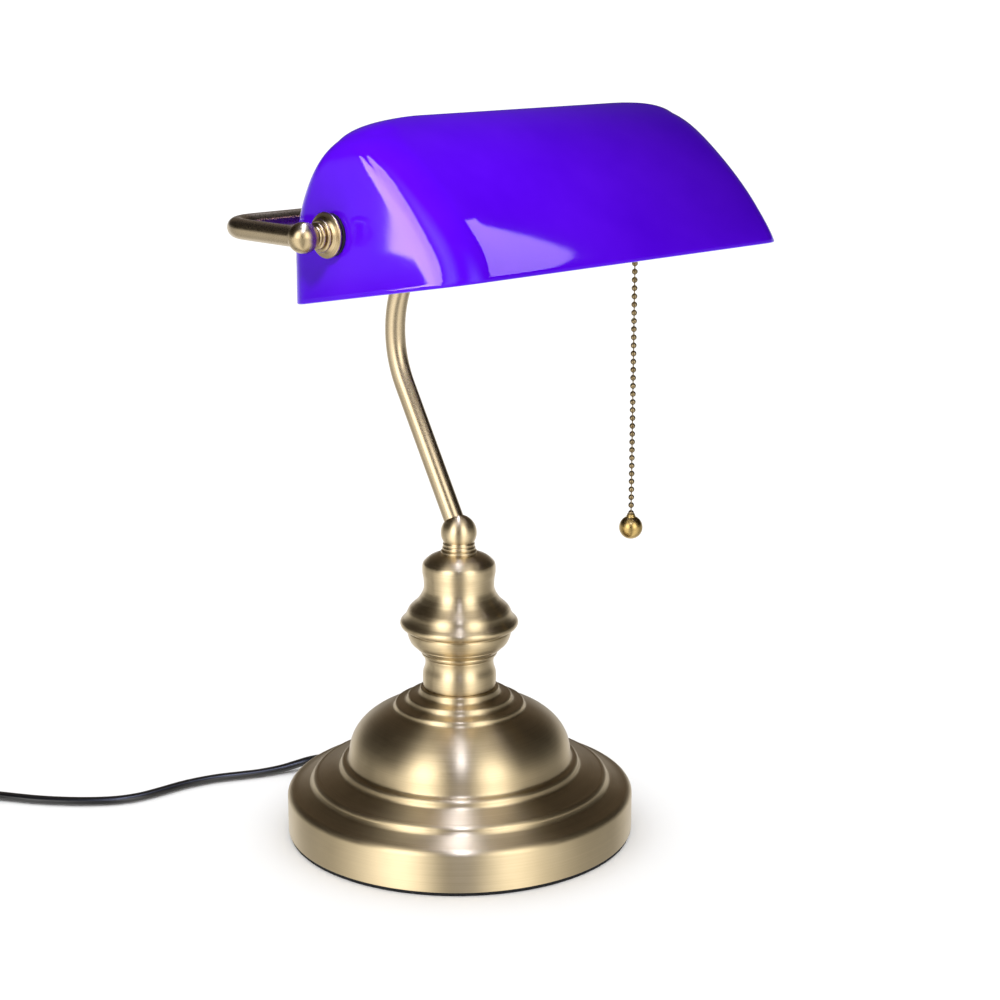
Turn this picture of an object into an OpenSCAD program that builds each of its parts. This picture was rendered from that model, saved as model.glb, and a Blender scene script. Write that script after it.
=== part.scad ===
// Banker desk lamp: weighted brass base, turned column, bent stem and yoke,
// a tilting glass shade, and a pull-chain socket on the shade's own pivot line.
// Millimetres, +Z up. The origin is the centre of the base on the table,
// the shade lies along X and the lamp's front faces -Y.

/* [Base] */
// Radius of the base rim
base_r = 95; // [88:1:102]
// Height of the base where the column stands on it
base_h = 81.6; // [81:0.2:82.6]
// Semi-axis of the base dome across
dome_a = 61; // [60:0.5:62]
// Thickness of the spun base shell
shell_t = 1.5; // [1:0.1:2]

/* [Column] */
// Height of the centre of the ball on the column
ball_z = 168.3; // [168:0.1:169]
// Radius of the ball on the column
ball_r = 9.7; // [9:0.1:10]
// Outer radius of the threaded tube that holds the column together
rod_r = 5; // [4.5:0.1:5]

/* [Stem and yoke] */
// Outer radius of the stem tube
stem_r = 5.5; // [5.3:0.1:5.7]
// Lean of the lower stem, backwards from upright
stem_lean = 29.5; // [27:0.5:31]
// Lean of the upper stem, forwards from upright
stem_return = 22; // [20:0.5:24]
// Length of the lower straight, from the ball's centre
stem_run = 85.6; // [80:0.2:90]
// Radius of the stem's bend
stem_bend = 59; // [50:1:65]
// Height of the yoke and of the shade's pivot line
pivot_z = 341; // [336:1:346]
// Outer radius of the yoke tube
yoke_r = 5; // [4.8:0.1:5.2]
// Radius of the yoke's bends
yoke_bend = 17.5; // [15:0.5:20]
// Half the distance between the centres of the pivot balls
pivot_x = 130.5; // [129:0.5:134]
// Distance of the pivot line in front of the column's axis
pivot_front = 35.3; // [33:0.1:37]

/* [Shade] */
// Half length of the shade over the flats of its ends
shade_half = 113.2; // [112.8:0.1:113.6]
// Depth of the shade in front of its ridge
shade_front = 67.5; // [64:0.5:70]
// Depth of the shade behind its ridge
shade_back = 62; // [60:0.5:66]
// Height of the shade above its rim
shade_h = 81; // [78:0.5:84]
// Thickness of the glass
glass_t = 3.5; // [3:0.1:4]
// Tilt of the shade at rest, front edge up
shade_tilt = 10.5; // [5:0.1:15]

/* [Pull chain] */
// Distance of the chain from the lamp's middle
chain_x = 79.6; // [78:0.2:82]
// Diameter of a bead
bead_d = 3.2; // [3:0.1:3.4]
// Distance from bead to bead
bead_pitch = 4.4; // [4.2:0.1:4.6]
// Number of beads above the ball
bead_count = 35; // [30:1:36]
// Diameter of the ball at the chain's end
pull_d = 12.8; // [11:0.2:14]

/* [Mains cord] */
// Width of the flat cord
cord_w = 6.2; // [6:0.1:6.4]
// Thickness of the flat cord
cord_t = 3.7; // [3.5:0.1:3.8]

/* [Hidden] */
$fn = 64;

brass = "#a89468";
dark_brass = "#6f6240";
steel = "#9a9a9c";
black = "#1c1c1e";
glass_purple = "#5a12f0";

play = 0.06;            // radial clearance of a turning fit
gap = 0.2;              // axial clearance of a turning fit

// ---- points and curves ----
function arc(cr, cz, a, b, from, to, n) =
  [for (i = [0:n]) let (w = from + (to - from) * i / n) [cr + a * cos(w), cz + b * sin(w)]];
function bezier(p, n) =
  [for (i = [0:n]) let (t = i / n, s = 1 - t)
    s * s * s * p[0] + 3 * s * s * t * p[1] + 3 * s * t * t * p[2] + t * t * t * p[3]];
function unit(v) = v / norm(v);

// ---- a tube swept along points: side is kept square to up ----
function section(w, t, n) =
  [for (i = [0:n - 1]) let (a = 360 * (i + 0.5) / n) [w / 2 * cos(a), t / 2 * sin(a)]];
function heading(p, i) = unit(p[min(i + 1, len(p) - 1)] - p[max(i - 1, 0)]);
function ring(p, i, shape, up) =
  let (d = heading(p, i), side = unit(cross(d, up)), top = cross(side, d))
    [for (q = shape) p[i] + side * q[0] + top * q[1]];
module swept(path, shape, up = [0, 0, 1]) {
  n = len(shape);
  m = len(path);
  polyhedron(
    points = [for (i = [0:m - 1]) for (q = ring(path, i, shape, up)) q],
    faces = concat(
      [[for (j = [0:n - 1]) j]],
      [[for (j = [n - 1:-1:0]) (m - 1) * n + j]],
      [for (i = [0:m - 2]) for (j = [0:n - 1])
        let (a = i * n + j, b = i * n + (j + 1) % n) each [[a, a + n, b], [b, a + n, b + n]]]));
}

// ---- base ----
pad_h = 2;              // felt under the base
plate_t = 1.2;
rim_low = 1.8;          // the shell's lower edge
weight_low = 15;
weight_top = 22.6;
boss_r = 5;
boss_pitch = 62;
cord_z = 7.8;           // height of the cord where it leaves the base

base_outline = concat(
  [[rod_r + 0.1, base_h], [20.6, base_h]],
  arc(20.8, 80.6, 0.9, 0.9, 80, 0, 3),
  [[22, 78.6], [22.6, 77.9], [23.4, 77.6], [27, 77.1]],
  arc(27.2, 75.8, 1.4, 1.3, 85, 0, 4),
  [[29, 74.6], [29.6, 73.9], [30.5, 73.5], [34, 73]],
  arc(34.1, 71.5, 1.5, 1.5, 85, 0, 4),
  [[35.9, 70.6], [36.5, 70]],
  [for (x = [38, 41, 44, 47, 50, 52.4, 54.6, 56.4, 58, 59.2, 60.1, 60.6])
    [x, 41.5 + 33 * pow(1 - pow(x / dome_a, 2.37), 1 / 2.37)]],
  [[60.9, 42.6], [61.3, 41.2], [62.2, 40.5], [63.4, 40.2]],
  arc(63.5, 38.2, 2.1, 2, 85, 0, 4),
  [[65.8, 37], [66.4, 36.1], [67.5, 35.6], [72, 34.3], [78, 32.4]],
  arc(78.1, 29.9, 3.2, 2.5, 82, 0, 5),
  [[81.9, 28.8], [82.6, 28], [84, 27.4], [87, 26.3], [90.2, 25.1]],
  arc(base_r - 4.4, 21.2, 4.4, 3.8, 80, 0, 6),
  [[base_r, rim_low]]);
base_inside = [
  [base_r - shell_t, rim_low], [base_r - shell_t, 20.8], [92.6, 22.2], [90, 23.4], [83.6, 25.8],
  [81.2, 27], [80.2, 28.8], [77.8, 30.6], [66.8, 33.9], [64.6, 35.3], [64, 37.3], [62.8, 38.6],
  [60.6, 39.1], [59.4, 41.4], [58.4, 49.5], [54.4, 57], [46, 63.8], [37.2, 67.9], [34.6, 69.2],
  [33.6, 71.3], [28.8, 72.2], [27.6, 73.6], [26.8, 75.3], [22, 76.1], [20.6, 77.8], [19.8, 79.8],
  [rod_r + 0.1, 79.8]];

module base_shell() color(brass) difference() {
  rotate_extrude($fn = 128) polygon(concat(base_outline, base_inside));
  translate([0, base_r - 6, cord_z]) rotate([-90, 0, 0]) cylinder(r = 4, h = 12);
}

module at_bosses() for (a = [30, 150, 270]) rotate([0, 0, a]) translate([boss_pitch, 0, 0]) children();

module base_weight() color("#3c3b3a") difference() {
  union() {
    translate([0, 0, weight_low]) cylinder(r = 88.5, h = weight_top - weight_low, $fn = 96);
    at_bosses() translate([0, 0, pad_h + plate_t]) cylinder(r = boss_r, h = weight_low);
  }
  translate([0, 0, weight_low - 1]) cylinder(r = rod_r + 0.3, h = 12);
  at_bosses() cylinder(r = 2, h = 14);
}

module base_plate() color(steel) difference() {
  translate([0, 0, pad_h]) cylinder(r = base_r - shell_t - 0.3, h = plate_t, $fn = 96);
  at_bosses() cylinder(r = 2.2, h = 10);
}

module base_pad() color(black) difference() {
  union() {
    cylinder(r = base_r - 0.8, h = rim_low - 0.1, $fn = 96);
    cylinder(r = base_r - shell_t - 0.3, h = pad_h, $fn = 96);
  }
  at_bosses() translate([0, 0, -1]) cylinder(r = 5, h = 10);
}

module plate_screws() color(steel) at_bosses() difference() {
  union() {
    translate([0, 0, pad_h - 1.5]) cylinder(r = 3.6, h = 1.5);
    translate([0, 0, pad_h]) cylinder(r = 1.95, h = 9);
  }
  for (a = [0, 90]) rotate([0, 0, a]) cube([4.4, 0.9, 2 * (pad_h - 0.7)], center = true);
}

// The moulded relief grips the cord in the wall and tapers along it.
relief_out = 14;
module cord_relief() color(black) difference() {
  translate([0, base_r, cord_z]) rotate([-90, 0, 0]) union() {
    translate([0, 0, -3.4]) cylinder(r = 4.5, h = 1.7);
    translate([0, 0, -4.6]) cylinder(r = 3.9, h = 6);
    rotate_extrude() polygon([[0, 0.1], [5.6, 0.1], [5.6, 1.6], [4.9, 2.4], [4.6, 8], [4.1, relief_out],
      [0, relief_out]]);
  }
  translate([0, base_r - 10, cord_z]) rotate([-90, 0, 0])
    linear_extrude(height = relief_out + 20) cord_slot();
}
module cord_slot() {
  for (s = [-1, 1]) translate([s * (cord_w - cord_t) / 2, 0]) circle(r = cord_t / 2 + 0.05);
  square([cord_w - cord_t, cord_t + 0.1], center = true);
}

module terminal_block() color("#e8e4d8") translate([0, 46, 8.2]) difference() {
  cube([17, 18, 9.6], center = true);
  for (s = [-1, 1]) translate([s * 4.2, 0, 0]) {
    rotate([90, 0, 0]) cylinder(r = 1.7, h = 30, center = true);
    for (y = [-4.5, 4.5]) translate([0, y, 0]) cylinder(r = 1.5, h = 6);
  }
}

module cord_inner_end() color(black)
  translate([0, 55.2, cord_z]) rotate([-90, 0, 0]) linear_extrude(height = base_r + relief_out - 55.4)
    for (s = [-1, 1]) translate([s * (cord_w - cord_t) / 2, 0]) circle(r = cord_t / 2);

// ---- column ----
rod_low = 8;
rod_top = ball_z - 3;
module column_rod() color("#b7ad8e") translate([0, 0, rod_low]) difference() {
  cylinder(r = rod_r, h = rod_top - rod_low);
  translate([0, 0, -1]) cylinder(r = rod_r - 1.5, h = rod_top);
}

module rod_washer() color(steel) translate([0, 0, weight_low - 1.6]) difference() {
  cylinder(r = 11, h = 1.6);
  translate([0, 0, -1]) cylinder(r = rod_r + 0.2, h = 4);
}

module hex_nut(across, h, bore) difference() {
  cylinder(r = across / 2 / cos(30), h = h, $fn = 6);
  translate([0, 0, -1]) cylinder(r = bore, h = h + 2);
}
module rod_nut() color(steel) translate([0, 0, weight_low - 6.1]) hex_nut(15, 4.5, rod_r + 0.05);

foot_top = 99.3;
bell_top = 156.7;
neck_top = 163.5;
module turned(outline) color(brass) rotate_extrude($fn = 96) polygon(outline);

module column_foot() turned(concat(
  [[rod_r + 0.1, base_h + 0.02], [19, base_h + 0.02], [19.5, 82], [19.8, 83], [20, 84.4], [20.1, 86],
   [20.1, 88], [20, 89.6], [19.7, 91], [19.2, 92.4], [18.8, 93.8], [18.6, 95], [18.6, 96.2], [18.7, 97.4],
   [18.9, foot_top - 1], [18.9, foot_top], [rod_r + 0.1, foot_top],
   [rod_r + 0.1, foot_top - 2], [15.8, foot_top - 2], [17, 90], [17, 85], [16, 84], [rod_r + 0.1, 84]]));

module column_bell() turned([
  [rod_r + 0.1, foot_top + 0.02], [19.6, foot_top + 0.02], [20.3, 100.2], [20.7, 101], [20.8, 101.6],
  [20.6, 102.1], [21.4, 102.6], [22.5, 103.6], [23.7, 104.7], [24, 105.2], [24.3, 105.6], [25.1, 106.1],
  [26.1, 107.1], [26.9, 108.4], [27.5, 109.8], [28, 111.4], [28.3, 112.8], [28.4, 113.8], [28.1, 114.4],
  [28.4, 114.9], [29.4, 115.3], [30.6, 115.8], [31.6, 116.6], [32.1, 117.6], [32.1, 118.5], [31.7, 119.3],
  [31, 120.1], [30.1, 121], [29.4, 122], [28.8, 123], [28.35, 124], [27.9, 125], [27.3, 126], [26.5, 127],
  [25.4, 128], [24.3, 129], [23.3, 130], [22.4, 131], [21.7, 132], [21, 133], [20.4, 134], [19.95, 135],
  [19.55, 136], [19.25, 137], [19.1, 138], [19.05, 139.5], [19.1, 141], [19.2, 142.5], [19.45, 144],
  [19.7, 145.5], [19.9, 147], [19.9, 149], [19.8, 150.2], [19.45, 151.3], [18.9, 152.2], [18, 153.1],
  [16.9, 154], [15.4, 154.9], [13.4, 155.8], [11.4, 156.4], [9.9, bell_top], [rod_r + 0.1, bell_top],
  [rod_r + 0.1, bell_top - 2.4], [9.4, bell_top - 2.4], [12, 154], [16.6, 150.6], [17.7, 148], [17.2, 144],
  [16.9, 139.8], [17.4, 136.6], [19.4, 132], [22.6, 128.4], [25.2, 125.4], [26.4, 122], [28.6, 119.2],
  [28.6, 117.8], [26.2, 116], [25.8, 113], [24.4, 109], [22.6, 107], [18.8, 103.8], [17.4, 101.6],
  [rod_r + 0.1, 101.4]]);

module neck_collar() turned(concat(
  [[rod_r + 0.1, bell_top + 0.02], [9.4, bell_top + 0.02]],
  arc(8.9, 157.9, 0.9, 0.8, -60, 70, 4),
  arc(8.2, 159.9, 0.8, 0.9, -60, 60, 4),
  arc(7.9, 162, 0.8, 0.9, -60, 60, 4),
  [[8, neck_top], [rod_r + 0.1, neck_top]]));

module column_ball() color(brass) difference() {
  translate([0, 0, ball_z]) sphere(r = ball_r, $fn = 64);
  translate([0, 0, neck_top - 9.98]) cylinder(r = 10.5, h = 10);
  translate([0, 0, ball_z - ball_r]) cylinder(r = rod_r + 0.05, h = ball_r);
  translate([0, 0, ball_z]) rotate([-stem_lean, 0, 0]) cylinder(r = stem_r + 0.05, h = 20);
}

// ---- stem, in the plane x = 0 ----
function lean(a) = [0, sin(a), cos(a)];
ball_at = [0, 0, ball_z];
bend_in = ball_at + stem_run * lean(stem_lean);
bend_at = bend_in + stem_bend * [0, -cos(stem_lean), sin(stem_lean)];
bend_out = bend_at + stem_bend * [0, cos(stem_return), sin(stem_return)];
return_run = (pivot_z - bend_out[2]) / cos(stem_return);
tee_at = bend_out + return_run * lean(-stem_return);
bar_y = tee_at[1];
pivot_y = -pivot_front;
tee_r = 9;
stem_in = 3.2;          // the stem stops short of the ball's and the tee's centres

module straight(r, wall, h) difference() {
  cylinder(r = r, h = h);
  translate([0, 0, -1]) cylinder(r = r - wall, h = h + 2);
}
module bend(r, wall, turn_r, angle) rotate_extrude(angle = angle, $fn = 96) translate([turn_r, 0])
  difference() {
    circle(r = r, $fn = 48);
    circle(r = r - wall, $fn = 48);
  }
stem_wall = 1.2;
lap = 0.02;             // a straight is this much slimmer than the bend that it runs into
lap_in = 0.4;
module lapped(r, wall, h) straight(r - lap, wall - 2 * lap, h);
module stem_tube() color(brass) {
  translate(ball_at + stem_in * lean(stem_lean)) rotate([-stem_lean, 0, 0])
    lapped(stem_r, stem_wall, stem_run - stem_in + lap_in);
  translate(bend_at) rotate([90, 0, 90]) rotate([0, 0, -stem_lean])
    bend(stem_r, stem_wall, stem_bend, stem_lean + stem_return);
  translate(bend_out - lap_in * lean(-stem_return)) rotate([stem_return, 0, 0])
    lapped(stem_r, stem_wall, return_run - stem_in - 2.4 + lap_in);
}

module yoke_tee() color(brass) difference() {
  union() {
    translate(tee_at) sphere(r = tee_r);
    translate(tee_at) rotate([0, 90, 0]) cylinder(r = 6.4, h = 2 * tee_r + 3, center = true);
    translate(tee_at) rotate([180 + stem_return, 0, 0]) cylinder(r = 7, h = tee_r + 2);
  }
  translate(tee_at) rotate([0, 90, 0]) cylinder(r = yoke_r + 0.05, h = 40, center = true);
  translate(tee_at) rotate([180 + stem_return, 0, 0]) cylinder(r = stem_r + 0.05, h = 30);
}

// ---- yoke arm, drawn on the right ----
arm_start = 4;          // the arm starts inside the tee
arm_wall = 1;
module yoke_arm() color(brass) {
  translate([arm_start, bar_y, pivot_z]) rotate([0, 90, 0])
    straight(yoke_r, arm_wall, pivot_x - yoke_bend - arm_start);
  translate([pivot_x - yoke_bend, bar_y - yoke_bend, pivot_z]) bend(yoke_r, arm_wall, yoke_bend, 90);
  translate([pivot_x, bar_y - yoke_bend, pivot_z]) rotate([90, 0, 0])
    straight(yoke_r, arm_wall, bar_y - yoke_bend - pivot_y - 4.2);
}
module left() mirror([1, 0, 0]) children();
module yoke_arm_right() yoke_arm();
module yoke_arm_left() left() yoke_arm();

// ---- pivot pieces: s runs inwards from the pivot ball along the pivot line ----
module on_pivot(s = 0) translate([pivot_x - s, pivot_y, pivot_z]) rotate([0, -90, 0]) children();

nipple_r = 4;
glass_s = pivot_x - shade_half;      // outer face of the glass
inner_s = glass_s + glass_t;
outer_rubber_t = 1.5;
inner_rubber_t = 1.5;
backing_t = 1.2;
nut_t = 4;
nut_s = inner_s + inner_rubber_t + gap + backing_t;
flange_end = glass_s - outer_rubber_t - gap;
pivot_ball_r = 7.4;
face_s = 6.2;                        // flat on the ball where the collar sits

module pivot_ball() color(brass) difference() {
  on_pivot() sphere(r = pivot_ball_r);
  on_pivot(face_s) cylinder(r = 8, h = 4);
  on_pivot(-1) cylinder(r = nipple_r + 0.03, h = 12);
  translate([pivot_x, pivot_y - 1, pivot_z]) rotate([-90, 0, 0]) cylinder(r = yoke_r + 0.03, h = 20);
}
module pivot_collar() color(brass) on_pivot() rotate_extrude() polygon(concat(
  [[nipple_r + 0.03, face_s + 0.02], [4.9, face_s + 0.02], [5.1, 7]],
  arc(5.3, 8, 1.1, 0.9, -70, 70, 4),
  [[5.6, 9.1]],
  arc(6.7, 10.1, 1.2, 0.9, -70, 70, 4),
  [[6.6, 11.2], [nipple_r + 0.03, 11.2]]));
module pivot_flange() color(brass) on_pivot() rotate_extrude() polygon(concat(
  [[nipple_r + 0.03, 11.22], [7.2, 11.22], [8.6, 12.3], [10.2, 12.9]],
  arc(10.3, 13.7, 0.7, 0.8, -60, 80, 4),
  [[9.8, 14.6], [9.8, flange_end], [nipple_r + 0.03, flange_end]]));
module pivot_nipple(long) color("#b7ad8e") on_pivot(1.2) difference() {
  cylinder(r = nipple_r, h = long);
  translate([0, 0, -1]) cylinder(r = nipple_r - 1.3, h = long + 2);
}
module flat_washer(s, t, r, bore) on_pivot(s) difference() {
  cylinder(r = r, h = t);
  translate([0, 0, -1]) cylinder(r = bore, h = t + 2);
}
module outer_washer() color(black)
  flat_washer(glass_s - outer_rubber_t, outer_rubber_t, 10.3, nipple_r + play);
module inner_washer() color(black) flat_washer(inner_s, inner_rubber_t, 10, nipple_r + play);
module backing_washer() color(brass) flat_washer(nut_s - backing_t, backing_t, 9, nipple_r + 0.03);
module bush() color("#e8e4d8") flat_washer(glass_s + 0.02, glass_t - 0.04, 5.45, nipple_r + play);
module both_sides() {
  children();
  left() children();
}

module pivot_ball_right() pivot_ball();
module pivot_ball_left() left() pivot_ball();
module pivot_collar_right() pivot_collar();
module pivot_collar_left() left() pivot_collar();
module pivot_flange_right() pivot_flange();
module pivot_flange_left() left() pivot_flange();
module pivot_nipple_right() pivot_nipple(socket_s + 5);
module pivot_nipple_left() left() pivot_nipple(nut_s + nut_t);
module outer_washer_right() outer_washer();
module outer_washer_left() left() outer_washer();
module inner_washer_right() inner_washer();
module inner_washer_left() left() inner_washer();
module backing_washers() both_sides() backing_washer();
module pivot_bushes() both_sides() bush();
module pivot_nuts() color(brass) both_sides() on_pivot(nut_s) hex_nut(13, nut_t, nipple_r + 0.03);

// ---- glass shade: levels of a rounded plan, each closed round the same corners ----
hole_back = 19.5;       // pivot hole behind the ridge
hole_up = 30;           // pivot hole above the rim
rim_flare = 2.4;        // the ends spread by this at the rim
flare_h = 18;
crest_half = 61;        // half length of the flat crest
shoulder_low = 57.6;     // the end walls stand straight up to here
levels = 22;
corner_steps = 8;

function by_height(curve) = [for (q = curve) [q[1], q[0]]];
front_curve = by_height(bezier([[shade_front, 0], [shade_front - 3.1, 0.326 * shade_h],
  [13, shade_h], [0, shade_h]], 40));
back_curve = by_height(bezier([[shade_back, 0], [shade_back + 5.4, 0.615 * shade_h],
  [0.31 * shade_back, shade_h], [0, shade_h]], 40));
end_curve = by_height(bezier([[shade_half, shoulder_low], [shade_half - 0.6, 0.895 * shade_h],
  [shade_half - 1, shade_h], [crest_half, shade_h]], 30));
function end_at(z) =
  z < flare_h ? shade_half + rim_flare * pow(1 - z / flare_h, 1.6)
  : z < shoulder_low ? shade_half : lookup(z, end_curve);
corner_r = 18.5;
function plan(x, f, b, r) = [
  for (c = [[x - r, b - r, 0], [r - x, b - r, 90], [r - x, r - f, 180], [x - r, r - f, 270]])
    for (i = [0:corner_steps]) let (w = c[2] + 90 * i / corner_steps)
      [c[0] + r * cos(w), c[1] + r * sin(w)]];
function level(i, k) =
  let (z = shade_h * min(sin(90 * i / levels), 0.99999),
       f = lookup(z, front_curve) * (1 - k / shade_front),
       b = lookup(z, back_curve) * (1 - k / shade_back),
       x = end_at(z) * (1 - k / shade_half),
       r = min(corner_r - k, 0.98 * (f + b) / 2, 0.98 * x))
    [for (q = plan(x, f, b, r)) [q[0], q[1], z * (1 - k / shade_h)]];
module shade_shell() {
  n = 4 * (corner_steps + 1);
  m = levels + 1;
  function at(side, i, j) = side * m * n + i * n + j % n;
  polyhedron(
    points = concat([for (i = [0:levels]) each level(i, 0)], [for (i = [0:levels]) each level(i, glass_t)]),
    faces = concat(
      [for (i = [0:levels - 1]) for (j = [0:n - 1])
        each [[at(0, i, j), at(0, i + 1, j), at(0, i, j + 1)],
              [at(0, i, j + 1), at(0, i + 1, j), at(0, i + 1, j + 1)]]],
      [for (i = [0:levels - 1]) for (j = [0:n - 1])
        each [[at(1, i, j), at(1, i, j + 1), at(1, i + 1, j)],
              [at(1, i, j + 1), at(1, i + 1, j + 1), at(1, i + 1, j)]]],
      [for (j = [0:n - 1])
        each [[at(0, 0, j), at(0, 0, j + 1), at(1, 0, j)],
              [at(0, 0, j + 1), at(1, 0, j + 1), at(1, 0, j)]]],
      [[for (j = [n - 1:-1:0]) at(0, levels, j)]],
      [[for (j = [0:n - 1]) at(1, levels, j)]]));
}
module shade_glass() color(glass_purple, 0.85)
  translate([0, pivot_y, pivot_z]) rotate([-shade_tilt, 0, 0]) difference() {
    translate([0, -hole_back, -hole_up]) shade_shell();
    for (s = [-1, 1]) translate([s * shade_half, 0, 0]) rotate([0, 90, 0])
      cylinder(r = 5.5, h = 16, center = true);
  }

// ---- socket on the right-hand nipple ----
socket_s = nut_s + nut_t + gap;
cap_end = socket_s + 13;
shell_r = 17.2;
shell_end = cap_end + 45;
body_end = cap_end + 21;
module socket_cap() color(brass) on_pivot(socket_s) rotate_extrude() polygon([
  [nipple_r + 0.03, 0], [6.4, 0], [6.4, 3], [8, 4.2], [12.6, 6.2], [15.6, 9], [16.9, 12], [shell_r, 13],
  [16.2, 13], [15.6, 12], [14.4, 9.8], [11.8, 7.6], [8, 6], [nipple_r + 0.03, 5.4]]);

module socket_shell() color(brass) difference() {
  on_pivot() rotate_extrude() polygon([
    [shell_r, cap_end + 0.02], [shell_r, shell_end - 2], [shell_r + 0.7, shell_end - 1],
    [shell_r, shell_end], [shell_r - 0.8, shell_end], [shell_r - 0.8, cap_end + 0.02]]);
  at_guide(10) cylinder(r = guide_r + 0.03, h = 12);
}

// The chain leaves the socket forwards and down.
guide_down = 45;
guide_r = 3.4;
mouth_r = 24;           // distance of the guide's mouth from the socket's axis
guide_dir = [0, -cos(guide_down), -sin(guide_down)];
mouth_at = [chain_x, pivot_y, pivot_z] + mouth_r * guide_dir;
module at_guide(along) translate([chain_x, pivot_y, pivot_z] + along * guide_dir)
  rotate([90 + guide_down, 0, 0]) children();

module socket_body() color("#2a2320") difference() {
  on_pivot(cap_end + 1) cylinder(r = 16.2, h = body_end - cap_end - 1);
  at_guide(-6) cylinder(r = 2.6, h = 30);
  at_guide(13.4) cylinder(r = guide_r + 0.03, h = 10);
}
module socket_sleeve() color("#cbb58a") on_pivot(body_end + 0.1) difference() {
  cylinder(r = 16.2, h = shell_end - body_end - 1);
  translate([0, 0, -1]) cylinder(r = 15.2, h = 60);
}
module screw_shell() color("#c9b37a") on_pivot(body_end + 0.05) difference() {
  cylinder(r = 14.3, h = shell_end - body_end - 2);
  translate([0, 0, 0.8]) cylinder(r = 13.7, h = 60);
  translate([0, 0, -1]) cylinder(r = 6, h = 4);
}
contact_h = 2.2;
module centre_contact() color("#c9b37a") on_pivot(body_end + 0.05) {
  cylinder(r = 4.4, h = 0.8);
  cylinder(r = 2.2, h = contact_h);
}
module chain_guide() color(brass) at_guide(13.6) rotate_extrude() polygon([
  [2.2, 0], [guide_r, 0], [guide_r, 3.7], [4.4, 4.2], [4.4, 5.4], [3, 6], [2.9, 8.2], [4.3, mouth_r - 13.4],
  [3.9, mouth_r - 13.4], [2.2, 8.6]]);
module switch_lever() color("#c9b37a") {
  at_guide(-5.6) cylinder(r = 1.9, h = 3);
  at_guide(-3) cylinder(r = 0.7, h = mouth_r - bead_pitch + 2.4);
  at_guide(mouth_r - bead_pitch) sphere(r = bead_d / 2, $fn = 32);
}

// ---- bead chain ----
link_r = 0.5;
function bead_at(i) = mouth_at - [0, 0, i * bead_pitch];
module bead(i) translate(bead_at(i)) sphere(r = bead_d / 2, $fn = 24);
module link_below(i, short = 0) translate(bead_at(i + 1))
  cylinder(r = link_r, h = bead_pitch - short, $fn = 16);
link_gap = bead_d / 2 + 0.25;

module chain_top_bead() color(dark_brass) bead(0);
module chain_link_bead() color(dark_brass) {
  bead(1);
  link_below(0, link_gap);
}
pull_z = bead_at(bead_count - 1)[2] - bead_d / 2 - pull_d / 2;
module pull_chain() color(dark_brass) {
  for (i = [2:bead_count - 1]) bead(i);
  for (i = [2:bead_count - 2]) link_below(i);
  link_below(1, link_gap);
}
module pull_ball() color("#b08d3c") translate([mouth_at[0], mouth_at[1], 0]) difference() {
  union() {
    translate([0, 0, pull_z]) sphere(r = pull_d / 2);
    translate([0, 0, pull_z + pull_d / 2]) rotate_extrude() polygon([[0, -3], [2.6, -3], [2.6, -0.2],
      [2.2, 0.4], [2.2, 1.2], [0, 1.2]]);
  }
  translate([0, 0, pull_z + pull_d / 2 - 0.02]) cylinder(r = bead_d / 2 + 0.02, h = 4);
}

// ---- bulb ----
tip_s = body_end + 0.05 + contact_h + 0.05;
cap_low = tip_s + 4.6;
bulb_neck = tip_s + 25;
globe_r = 22.5;
module bulb_insulator() color("#20242a") on_pivot(tip_s) rotate_extrude() polygon([
  [0, 0], [4.4, 0], [5, 1], [9.6, 3.8], [11.6, 4.58], [0, 4.58]]);
module bulb_cap() color("#c8c8ca") on_pivot(cap_low) rotate_extrude() polygon(concat(
  [[0, 0], [12, 0]],
  [for (i = [0:4]) each [[13.1, 1.2 + 3.4 * i], [12.4, 2.9 + 3.4 * i]]],
  [[13, 18], [13, 20.38], [0, 20.38]]));
module bulb_glass() color("white", 0.4) on_pivot(bulb_neck) rotate_extrude($fn = 96) polygon(concat(
  [[12.4, 0.02], [13, 0.02], [13.4, 3]],
  arc(0, 27, globe_r, globe_r, -52, 90, 18),
  arc(0, 27, globe_r - 0.9, globe_r - 0.9, 90, -52, 18),
  [[12.6, 3.4]]));
module bulb_filament() color("#f2c25a") on_pivot(bulb_neck + 0.02) {
  cylinder(r1 = 5, r2 = 2.2, h = 14);
  cylinder(r = 1, h = 36);
  for (h = [15, 34.6]) translate([0, 0, h]) cylinder(r = 5.4, h = 0.6);
  for (a = [0:90:270]) rotate([0, 0, a]) translate([4.4, 0, 15.2]) cylinder(r = 0.8, h = 19.6);
}

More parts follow.
